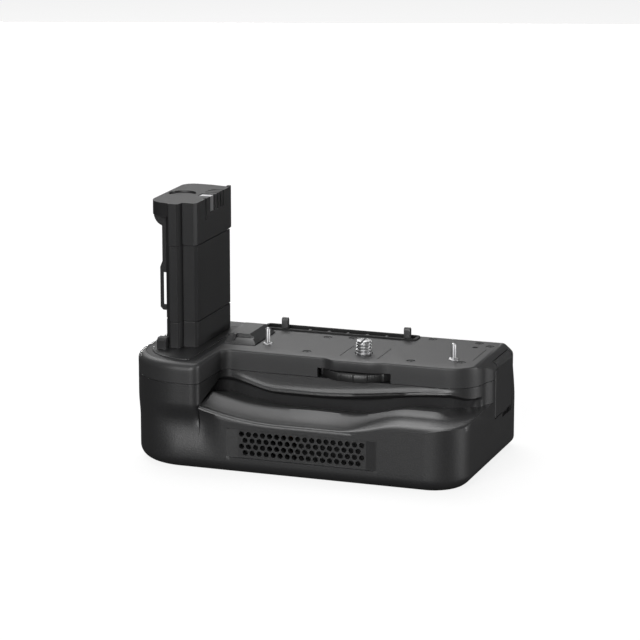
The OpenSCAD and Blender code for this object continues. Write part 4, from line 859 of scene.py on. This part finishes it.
class GRIP_OT_lower_shell(GripOperator, bpy.types.Operator):
    """Lofts the base with its handgrip, groove, ledge and vent recess, and hollows it"""
    bl_idname = "grip.lower_shell"
    bl_label = "Lower Shell"

    def execute(self, context):
        s = Sizes(context)
        shell = lower_body(s)
        floor = s.wall - s.body_h
        ceiling = -s.ledge_mid - s.wall - 0.8
        tray_low, tray_high = node_box("battery_tray")
        face_high = node_box("tray_face")[1]
        window_top = face_high[2] - 1.2
        cover_low, cover_high = node_box("port_cover")
        cut(shell, prism("lower_room", base_plan(s, s.wall), floor, ceiling))
        cut(shell, prism("upper_room", room_plan(s, s.wall + 3.4), ceiling - 1, 1))
        cut(shell, block("tray_window", (tray_low[0] - 0.3, s.deck_back - s.wall - 1, floor),
                         (tray_high[0] + 0.3, s.base_back + 2, window_top)))
        cut(shell, block("latch_room", (tray_low[0] - 3.5, s.deck_back - s.wall - 5, ceiling - 1),
                         (tray_low[0] + 0.7, s.base_back - s.wall, -21.5)))
        cut(shell, block("vent_window", (s.vent_x0 - 0.1, -s.base_front, s.vent_z0 - 0.1),
                         (s.vent_x1 + 0.1, 1 - s.base_front + s.wall, s.vent_z1 + 0.1)))
        cut(shell, *port_cutters(s))
        cut(shell, block("finger_notch", (s.body_right - 1.6, cover_high[1] - 13, cover_low[2] - 2.2),
                         (s.body_right + 1, cover_high[1], cover_low[2])))
        cut(shell, rod("socket_hole", *TRIPOD_AT, -s.body_h - 1, floor + 1, 6.6, 64))
        for x, y in BASE_SCREWS:
            cut(shell, rod("screw_recess", x, y, -s.body_h - 1, 0.8 - s.body_h, 2.2, 32))
        shade(shell, 32, weighted=False)
        shell.name = "moulded_base"
        dress(context, shell, "shell", "body", "lower_shell")
        return {"FINISHED"}


class GRIP_OT_top_cover(GripOperator, bpy.types.Operator):
    """Builds the deck with its rounded edge, the bulge over the wheel and all its holes"""
    bl_idname = "grip.top_cover"
    bl_label = "Top Cover"

    def execute(self, context):
        s = Sizes(context)
        low = s.seam_gap - s.seam_depth
        rings = [[(x, y, z) for x, y in deck_ring(s, 0, swell)]
                 for z, swell in ((low, 0), (-6.3, 0), (s.slot_top - 0.02, 0), (s.slot_top, 0.86),
                                  (s.slot_top + 0.08, 0.95), (s.slot_top + 0.3, 1))]
        rings += [edge_ring(s, math.radians(a)) for a in (0, 10, 20, 30, 40, 50, 60, 70, 80, 90)]
        cover = stacked("deck_form", rings)
        (x0, z0), (x1, z1), (x2, z2) = cover_slope(s)
        slope = [(x0 - 1.1, 0.02), (x0 - 0.3, -0.06), (x0 + 0.5, -0.45),
                 (mix(x0, x1, 0.9), mix(z0, z1, 0.9)), (x1 + 0.1, z1 - 0.12), (x1 + 0.42, z1 - 0.55),
                 (x2 - 0.06, z2 + 0.5), (x2 + 0.02, z2), (x2 + 2, z2), (x2 + 2, 2), (x0 - 1.1, 2)]
        cut(cover, prism("inner_room", room_plan(s, s.wall), low - 1, -2))
        cut(cover, prism_y("end_slope", slope, -s.deck_front, s.deck_back + 2))
        cut(cover, block("wheel_slot", (-s.slot_half, -s.deck_front - 5, low - 1),
                         (s.slot_half, 1 + s.wall - s.deck_front, s.slot_top)))
        cut(cover, rod("screw_hole", 0, 0, -4, 1, s.screw_r + 0.4))
        pins_low, pins_high = node_box("guide_pins")
        for x in (pins_low[0] + PIN_FLANGE_R, pins_high[0] - PIN_FLANGE_R):
            cut(cover, rod("pin_hole", x, (pins_low[1] + pins_high[1])/2, -4, 1, 1.05))
        for x, y in DECK_SCREWS:
            cut(cover, lathe("screw_pocket", SCREW_POCKET, x, y, 32))
        cut(cover, rod("locating_hole", *LOCATING_HOLE, -1, 1, 1.2, 32))
        strip_low, strip_high = node_box("intake_frame")
        cut(cover, rounded_plate("strip_opening", (strip_low[0] - 0.1, strip_low[1] - 0.1, -3),
                                 (strip_high[0] + 0.1, strip_high[1] + 0.1, 1), 2))
        cut(cover, prism("platform_pocket", platform_plan(s, -0.1), -s.plat_sink, 1))
        for (ax, ay), (bx, by) in PANEL_LINES:
            cut(cover, block("panel_line", (ax - 0.14, ay, -0.16), (bx + 0.14, by, 0.5)))
        cut(cover, *port_cutters(s))
        shade(cover, 30, weighted=False)
        cover.name = "moulded_deck"
        dress(context, cover, "deck", "body", "top_cover")
        return {"FINISHED"}


def platform_plan(s, d):
    """Plan of the column's platform, set in by d."""
    left, front = s.grip_left - s.plat_inset, s.grip_front - s.plat_inset
    r = s.grip_corner_r - s.plat_inset
    right, back = s.grip_side + s.plat_inset, node_box("column_platform")[1][1]
    return (arc(r - left, r - front, r - d, 180, 270, 24)
            + arc(-right - 4, 4 - front, 4 - d, 270, 360, 8)
            + arc(-right - 3, back - 3, 3 - d, 0, 90, 8)
            + arc(3 - left, back - 3, 3 - d, 90, 180, 8))


def rounded_plate(name, low, high, r):
    x0, y0, x1, y1 = low[0] + r, low[1] + r, high[0] - r, high[1] - r
    corners = ((x1, y1), (x0, y1), (x0, y0), (x1, y0))
    plan = [p for i, (x, y) in enumerate(corners) for p in arc(x, y, r, 90*i, 90*i + 90, 8)]
    return prism(name, plan, low[2], high[2])


class GRIP_OT_vent_grille(GripOperator, bpy.types.Operator):
    """Rounds the rims of the vent's holes"""
    bl_idname = "grip.vent_grille"
    bl_label = "Vent Grille"

    def execute(self, context):
        s = Sizes(context)
        grille = from_node("vent_grille", "vent_plate")
        front = min(vertex.co.y for vertex in grille.data.vertices)
        spread, near = 0.25*MM, 0.3*MM
        sides = ((0, s.vent_x0, s.vent_x1), (2, s.vent_z0, s.vent_z1))
        rims = []
        for edge in grille.data.edges:
            ends = [grille.data.vertices[i].co for i in edge.vertices]
            outer = any(min(abs(co[axis] - a*MM), abs(co[axis] - b*MM)) < near for co in ends
                        for axis, a, b in sides)
            if not outer and all(co.y < front + 1e-6 for co in ends):
                rims.append(edge.index)
        for vertex in grille.data.vertices:
            if vertex.co.y < front + 0.7*MM:
                for axis, a, b in sides:
                    if abs(vertex.co[axis] - a*MM) < near:
                        vertex.co[axis] -= spread
                    elif abs(vertex.co[axis] - b*MM) < near:
                        vertex.co[axis] += spread
            vertex.co.y -= 0.012*MM
        activate(grille)
        bpy.ops.object.mode_set(mode="EDIT")
        bpy.ops.mesh.select_mode(type="EDGE")
        bpy.ops.mesh.select_all(action="DESELECT")
        bpy.ops.object.mode_set(mode="OBJECT")
        for index in rims:
            grille.data.edges[index].select = True
        bpy.ops.object.mode_set(mode="EDIT")
        bpy.ops.mesh.bevel(offset=0.14*MM, segments=2, clamp_overlap=True)
        bpy.ops.object.mode_set(mode="OBJECT")
        shade(grille, 40)
        dress(context, grille, "shell", "body", "vent_grille")
        return {"FINISHED"}


class GRIP_OT_column(GripOperator, bpy.types.Operator):
    """Rounds the mouldings of the battery-shaped column and its platform"""
    bl_idname = "grip.column"
    bl_label = "Column"

    def execute(self, context):
        rounded(context, [("column_platform", 0.22, "black", "body"),
                          ("column_foot", 0.18, "black", "body"),
                          ("column_sleeve", 0.18, "black", "body"),
                          ("column_head", 0.2, "black", "body")], "_moulding")
        contacts = from_node("column_contacts", "column_contact_blades", 0.1, 2, 30)
        shade(contacts, 35)
        dress(context, contacts, "steel", "body", "column_contacts")
        return {"FINISHED"}


class GRIP_OT_deck_fittings(GripOperator, bpy.types.Operator):
    """Rounds the wedge beside the column, the intake strip and its posts"""
    bl_idname = "grip.deck_fittings"
    bl_label = "Deck Fittings"

    def execute(self, context):
        post_low, post_high = node_box("intake_posts")
        strip_low, strip_high = node_box("intake_frame")
        first, last = post_low[0] + END_POST, post_high[0] - END_POST
        rounded(context, [("door_block", 0.25, "shell", "body")], "_moulding")
        posts = from_node("intake_posts", "intake_posts_moulding", 0.25, 2, 28)
        webs = []
        for i in range(1, STRIP_WINDOWS):
            x = mix(first, last, i/STRIP_WINDOWS)
            web = block("web_cap", (x - 0.55, strip_low[1] + 3.2, -0.6),
                        (x + 0.55, strip_high[1] - 1.8, -0.05))
            round_edges(web, 0.15)
            webs.append(web)
        posts = join("intake_posts_moulding", [posts] + webs)
        shade(posts, 40)
        dress(context, posts, "shell", "body", "intake_posts")
        rounded(context, [("intake_frame", 0.15, "chip", "body")], "_moulding")
        return {"FINISHED"}


def thread_crest(s, z, turn):
    """How far the camera thread has risen at a height and a share of a turn."""
    return ease(1.25 - 2.5*abs((z/s.screw_pitch - turn) % 1.0 - 0.5))


def screw_thread(s, z0, z1, deep, per_turn=14):
    """Rings of the camera screw's thread, from its foot to its rounded tip."""
    rows = int((z1 - z0)/s.screw_pitch*per_turn)
    rings = []
    for i in range(rows + 1):
        z = mix(z0, z1, i/rows)
        cap = min(1.0, (z1 - z)/0.7)
        limit = s.screw_r - 0.75*(1 - math.sqrt(max(0, 1 - (1 - cap)**2)))
        rings.append(turned_ring(
            lambda turn: min(mix(s.screw_r - deep, s.screw_r, thread_crest(s, z, turn)), limit), z))
    return rings


class GRIP_OT_camera_lock(GripOperator, bpy.types.Operator):
    """Cuts the camera screw's thread and serrates the lock wheel"""
    bl_idname = "grip.camera_lock"
    bl_label = "Camera Screw and Wheel"

    def execute(self, context):
        s = Sizes(context)
        low, high = node_box("lock_screw")
        r = s.screw_r
        shank = [turned_ring(lambda turn: radius, z)
                 for radius, z in ((1.7, low[2]), (2, low[2] + 0.3), (2, -8.3), (r, -8.3), (r, -0.55),
                                   (r - 0.4, -0.5), (r - 0.4, 0.25))]
        screw = stacked("screw_form", shank + screw_thread(s, 0.3, high[2], 0.62))
        cut(screw, block("driver_slot", (-0.5, -r - 1, high[2] - 0.9), (0.5, r + 1, high[2] + 1)))
        shade(screw, 38, weighted=False)
        screw.name = "camera_screw"
        dress(context, screw, "steel", "lock", "lock_screw")

        low, high = node_box("lock_wheel")
        teeth, lines, first = 9, 18, 14/360

        def rim(turn, inset):
            """Radius of the wheel's edge: teeth with fine lines."""
            phase = (((turn - first)*teeth + 0.5) % 1.0) - 0.5
            tooth = ease((0.265 - abs(phase))/0.05)
            radius = mix(s.wheel_r - 0.6, s.wheel_r - 0.08, tooth)
            radius += 0.08*tooth*math.cos(math.pi*phase/0.54)
            ridge = abs((turn*teeth*lines) % 1.0 - 0.5)*2
            return radius - (0.06 if tooth < 0.5 else 0.03)*ease(ridge) - inset

        z0, z1 = low[2] + 0.4, high[2]
        edge = ((z0, 0.4), (z0 + 0.1, 0.15), (z0 + 0.35, 0),
                (z1 - 0.35, 0), (z1 - 0.1, 0.15), (z1, 0.4))
        rings = [turned_ring(lambda turn: rim(turn, inset), z, sides=1080, start=-math.pi/2)
                 for z, inset in edge]
        wheel = stacked("wheel_form", rings)
        hub = 6.4
        dish = [(hub, z1 - 0.8), (s.wheel_r - 3.4, z1 - 0.8), (s.wheel_r - 2.8, z1 + 1), (hub, z1 + 1),
                (hub, z1 - 0.8)]
        cut(wheel, lathe("wheel_dish", dish, 0, 0, 96))
        cut(wheel, rod("wheel_bore", 0, 0, z0 - 2, z1 + 2, s.screw_r + 0.02, 72))
        shade(wheel, 40, weighted=False)
        wheel.name = "lock_thumb_wheel"
        dress(context, wheel, "wheel", "lock", "lock_wheel")
        return {"FINISHED"}


class GRIP_OT_guide_pins(GripOperator, bpy.types.Operator):
    """Turns the two guide pins with their flanges"""
    bl_idname = "grip.guide_pins"
    bl_label = "Guide Pins"

    def execute(self, context):
        low, high = node_box("guide_pins")
        y = (low[1] + high[1])/2
        flange, r, h = PIN_FLANGE_R, 0.95, high[2]
        profile = [(0, low[2]), (r, low[2]), (r, 0.0), (flange, 0.0), (flange, 0.25),
                   (flange - 0.12, 0.4), (flange - 0.4, 0.5), (r + 0.2, 0.52), (r, 0.7), (r, h - 0.75),
                   (r - 0.06, h - 0.5), (r - 0.2, h - 0.2), (r - 0.42, h - 0.04), (r - 0.6, h), (0, h)]
        pins = join("guide_pin_pair", [lathe("guide_pin", profile, x, y, 40)
                                       for x in (low[0] + flange, high[0] - flange)])
        shade(pins, 35, weighted=False)
        dress(context, pins, "steel", "body", "guide_pins")
        return {"FINISHED"}


class GRIP_OT_fasteners(GripOperator, bpy.types.Operator):
    """Rounds the small screws of the deck and the underside"""
    bl_idname = "grip.fasteners"
    bl_label = "Fasteners"

    def execute(self, context):
        rounded(context, [("deck_screws", 0.06, "screw_black", "body"),
                          ("base_screws", 0.06, "screw_black", "body")], "_turned", angle=35)
        return {"FINISHED"}


class GRIP_OT_port_cover(GripOperator, bpy.types.Operator):
    """Rounds the cover over the network socket"""
    bl_idname = "grip.port_cover"
    bl_label = "Port Cover"

    def execute(self, context):
        piece = from_node("port_cover", "port_flap", 0.22, 3, 25)
        shade(piece, 40)
        dress(context, piece, "shell", "cover", "port_cover")
        return {"FINISHED"}


class GRIP_OT_battery_tray(GripOperator, bpy.types.Operator):
    """Rounds the tray, its outer face and the latch"""
    bl_idname = "grip.battery_tray"
    bl_label = "Battery Tray"

    def execute(self, context):
        rounded(context, [("battery_tray", 0.2, "black", "tray"), ("tray_face", 0.35, "shell", "tray"),
                          ("latch_knob", 0.25, "black", "latch"), ("latch_cam", 0.1, "steel", "latch")],
                "_rounded", segments=3)
        return {"FINISHED"}


class GRIP_OT_underside(GripOperator, bpy.types.Operator):
    """Turns the tripod socket with its thread"""
    bl_idname = "grip.underside"
    bl_label = "Tripod Socket"

    def execute(self, context):
        s = Sizes(context)
        low, high = node_box("tripod_socket")
        z0, z1 = low[2], high[2]
        outer = [turned_ring(lambda turn: radius, z, *TRIPOD_AT)
                 for radius, z in ((6.2, z0), (6.5, z0 + 0.3), (6.5, z0 + 2), (8.5, z0 + 2),
                                   (8.5, z0 + 3.5), (6.5, z0 + 3.5), (6.5, z1))]
        rows = 96
        bore = []
        for i in range(rows + 1):
            z = mix(z1, z0, i/rows)
            mouth = s.screw_r + 0.7*ease((z0 + 0.8 - z)/0.8)
            bore.append(turned_ring(lambda turn: mouth + 0.5*thread_crest(s, z, turn), z, *TRIPOD_AT))
        rings = outer + bore
        socket = stacked("tripod_bush", rings + [rings[0]], close=False)
        shade(socket, 35, weighted=False)
        dress(context, socket, "brass", "body", "tripod_socket")
        return {"FINISHED"}


class GRIP_OT_inner_finish(GripOperator, bpy.types.Operator):
    """Gives every piece inside the grip its finish"""
    bl_idname = "grip.inner_finish"
    bl_label = "Inner Pieces"

    def execute(self, context):
        for part in frame["record"]["subparts"]:
            obj = frame["nodes"][part["node"]]
            obj.data.materials.clear()
            obj.data.materials.append(finish(context, part["material_slot"]))
        return {"FINISHED"}


class GRIP_OT_stage(GripOperator, bpy.types.Operator):
    """Sets the floor, the white room, the lights and the camera"""
    bl_idname = "grip.stage"
    bl_label = "Stage"

    def execute(self, context):
        stage = context.scene.grip_stage
        floor_z = CAD_BOX[0][2]
        bpy.ops.object.select_all(action="DESELECT")
        bpy.ops.mesh.primitive_plane_add(size=8, location=(0, 0, floor_z - 0.0002))
        floor = context.object
        floor.name = "studio_floor"
        floor.data.materials.append(floor_material(stage.mirrored))

        world = bpy.data.worlds.new("white_room")
        world.use_nodes = True
        context.scene.world = world
        tree = world.node_tree
        room = tree.nodes["Background"]
        room.inputs["Color"].default_value = (1, 1, 1, 1)
        room.inputs["Strength"].default_value = stage.sky
        seen = tree.nodes.new("ShaderNodeBackground")
        seen.inputs["Color"].default_value = (1, 1, 1, 1)
        seen.inputs["Strength"].default_value = 1.0
        shown = white_to_camera(tree, room, seen, stage.mirrored)
        tree.links.new(shown, tree.nodes["World Output"].inputs["Surface"])

        aim = Vector((-0.01, 0.0, 0.0))
        for name, place, size, watts in (
                ("key_softbox", (-0.34, 0.44, 0.9), (0.9, 1.4), stage.key_power),
                ("right_softbox", (1.02, 0.2, 0.09), (0.36, 0.24), stage.strip_power),
                ("front_softbox", (0.0, -1.2, 0.38), (1.1, 0.7), stage.fill_power),
                ("back_strip", (-0.4, 1.2, -0.021), (1.1, 0.036), stage.back_power)):
            data = bpy.data.lights.new(name, "AREA")
            data.shape = "RECTANGLE"
            data.size, data.size_y = size
            data.energy = watts
            lamp = new_object(name, data)
            lamp.location = place
            lamp.rotation_euler = (aim - Vector(place)).to_track_quat("-Z", "Y").to_euler()

        turn, tilt = math.radians(CAMERA_TURN), math.radians(CAMERA_TILT)
        data = bpy.data.cameras.new("photo_camera")
        data.sensor_width = 36.0
        data.lens = CAMERA_LENS
        data.clip_end = 20.0
        camera = new_object("photo_camera", data)
        camera.location = CAMERA_AT
        ahead = Vector((-math.sin(turn)*math.cos(tilt), math.cos(turn)*math.cos(tilt), -math.sin(tilt)))
        camera.rotation_euler = ahead.to_track_quat("-Z", "Y").to_euler()
        context.scene.camera = camera
        context.scene.view_settings.view_transform = "Standard"
        return {"FINISHED"}


def white_to_camera(tree, plain, white, mirrored):
    """Shows the camera white, gloss and glass a share of it, and other rays the plain shader."""
    rays = add_node(tree, "ShaderNodeLightPath").outputs
    bounced = math_node(tree, "MAXIMUM", rays["Is Glossy Ray"], rays["Is Transmission Ray"])
    seen = math_node(tree, "MAXIMUM", rays["Is Camera Ray"],
                     math_node(tree, "MULTIPLY", bounced, mirrored))
    return mixed(tree, seen, plain, white).outputs[0]


def mixed(tree, factor, first, second):
    """A mix of two shader nodes."""
    blend = add_node(tree, "ShaderNodeMixShader")
    if isinstance(factor, float):
        blend.inputs[0].default_value = factor
    else:
        tree.links.new(factor, blend.inputs[0])
    tree.links.new(first.outputs[0], blend.inputs[1])
    tree.links.new(second.outputs[0], blend.inputs[2])
    return blend


def floor_material(mirrored):
    """Pale paper, bright to the camera and dim to the object."""
    material = bpy.data.materials.new("pale_floor")
    material.use_nodes = True
    tree = material.node_tree
    tree.nodes.remove(tree.nodes["Principled BSDF"])
    paper = add_node(tree, "ShaderNodeBsdfDiffuse")
    paper.inputs["Color"].default_value = (0.8, 0.8, 0.8, 1)
    dim = add_node(tree, "ShaderNodeBsdfDiffuse")
    dim.inputs["Color"].default_value = (0.01, 0.01, 0.01, 1)
    white = add_node(tree, "ShaderNodeEmission")
    white.inputs["Strength"].default_value = 1.05
    shown = white_to_camera(tree, dim, mixed(tree, 0.8, paper, white), mirrored)
    tree.links.new(shown, tree.nodes["Material Output"].inputs["Surface"])
    return material


OPERATORS = (GRIP_OT_inner_finish, GRIP_OT_lower_shell, GRIP_OT_top_cover, GRIP_OT_vent_grille,
             GRIP_OT_column, GRIP_OT_deck_fittings, GRIP_OT_camera_lock, GRIP_OT_guide_pins,
             GRIP_OT_fasteners, GRIP_OT_port_cover, GRIP_OT_battery_tray, GRIP_OT_underside,
             GRIP_OT_stage)


class GRIP_PT_build(bpy.types.Panel):
    """Lists the grip's pieces and its sizes"""
    bl_idname = "GRIP_PT_build"
    bl_label = "Camera Battery Grip"
    bl_space_type = "VIEW_3D"
    bl_region_type = "UI"
    bl_category = "Grip"

    def draw(self, context):
        layout = self.layout
        for kind in OPERATORS:
            layout.operator(kind.bl_idname)
        for group in (context.scene.grip_sizes, context.scene.grip_colours, context.scene.grip_stage):
            column = layout.box().column()
            for key in type(group).__annotations__:
                column.prop(group, key)


CLASSES = (GripSizes, GripColours, GripStage) + OPERATORS + (GRIP_PT_build,)


def register():
    for kind in CLASSES:
        bpy.utils.register_class(kind)
    bpy.types.Scene.grip_sizes = bpy.props.PointerProperty(type=GripSizes)
    bpy.types.Scene.grip_colours = bpy.props.PointerProperty(type=GripColours)
    bpy.types.Scene.grip_stage = bpy.props.PointerProperty(type=GripStage)


def unregister():
    del bpy.types.Scene.grip_stage
    del bpy.types.Scene.grip_colours
    del bpy.types.Scene.grip_sizes
    for kind in reversed(CLASSES):
        bpy.utils.unregister_class(kind)


def main():
    register()
    for kind in OPERATORS:
        group, name = kind.bl_idname.split(".")
        getattr(getattr(bpy.ops, group), name)()


if __name__ == "__main__":
    main()
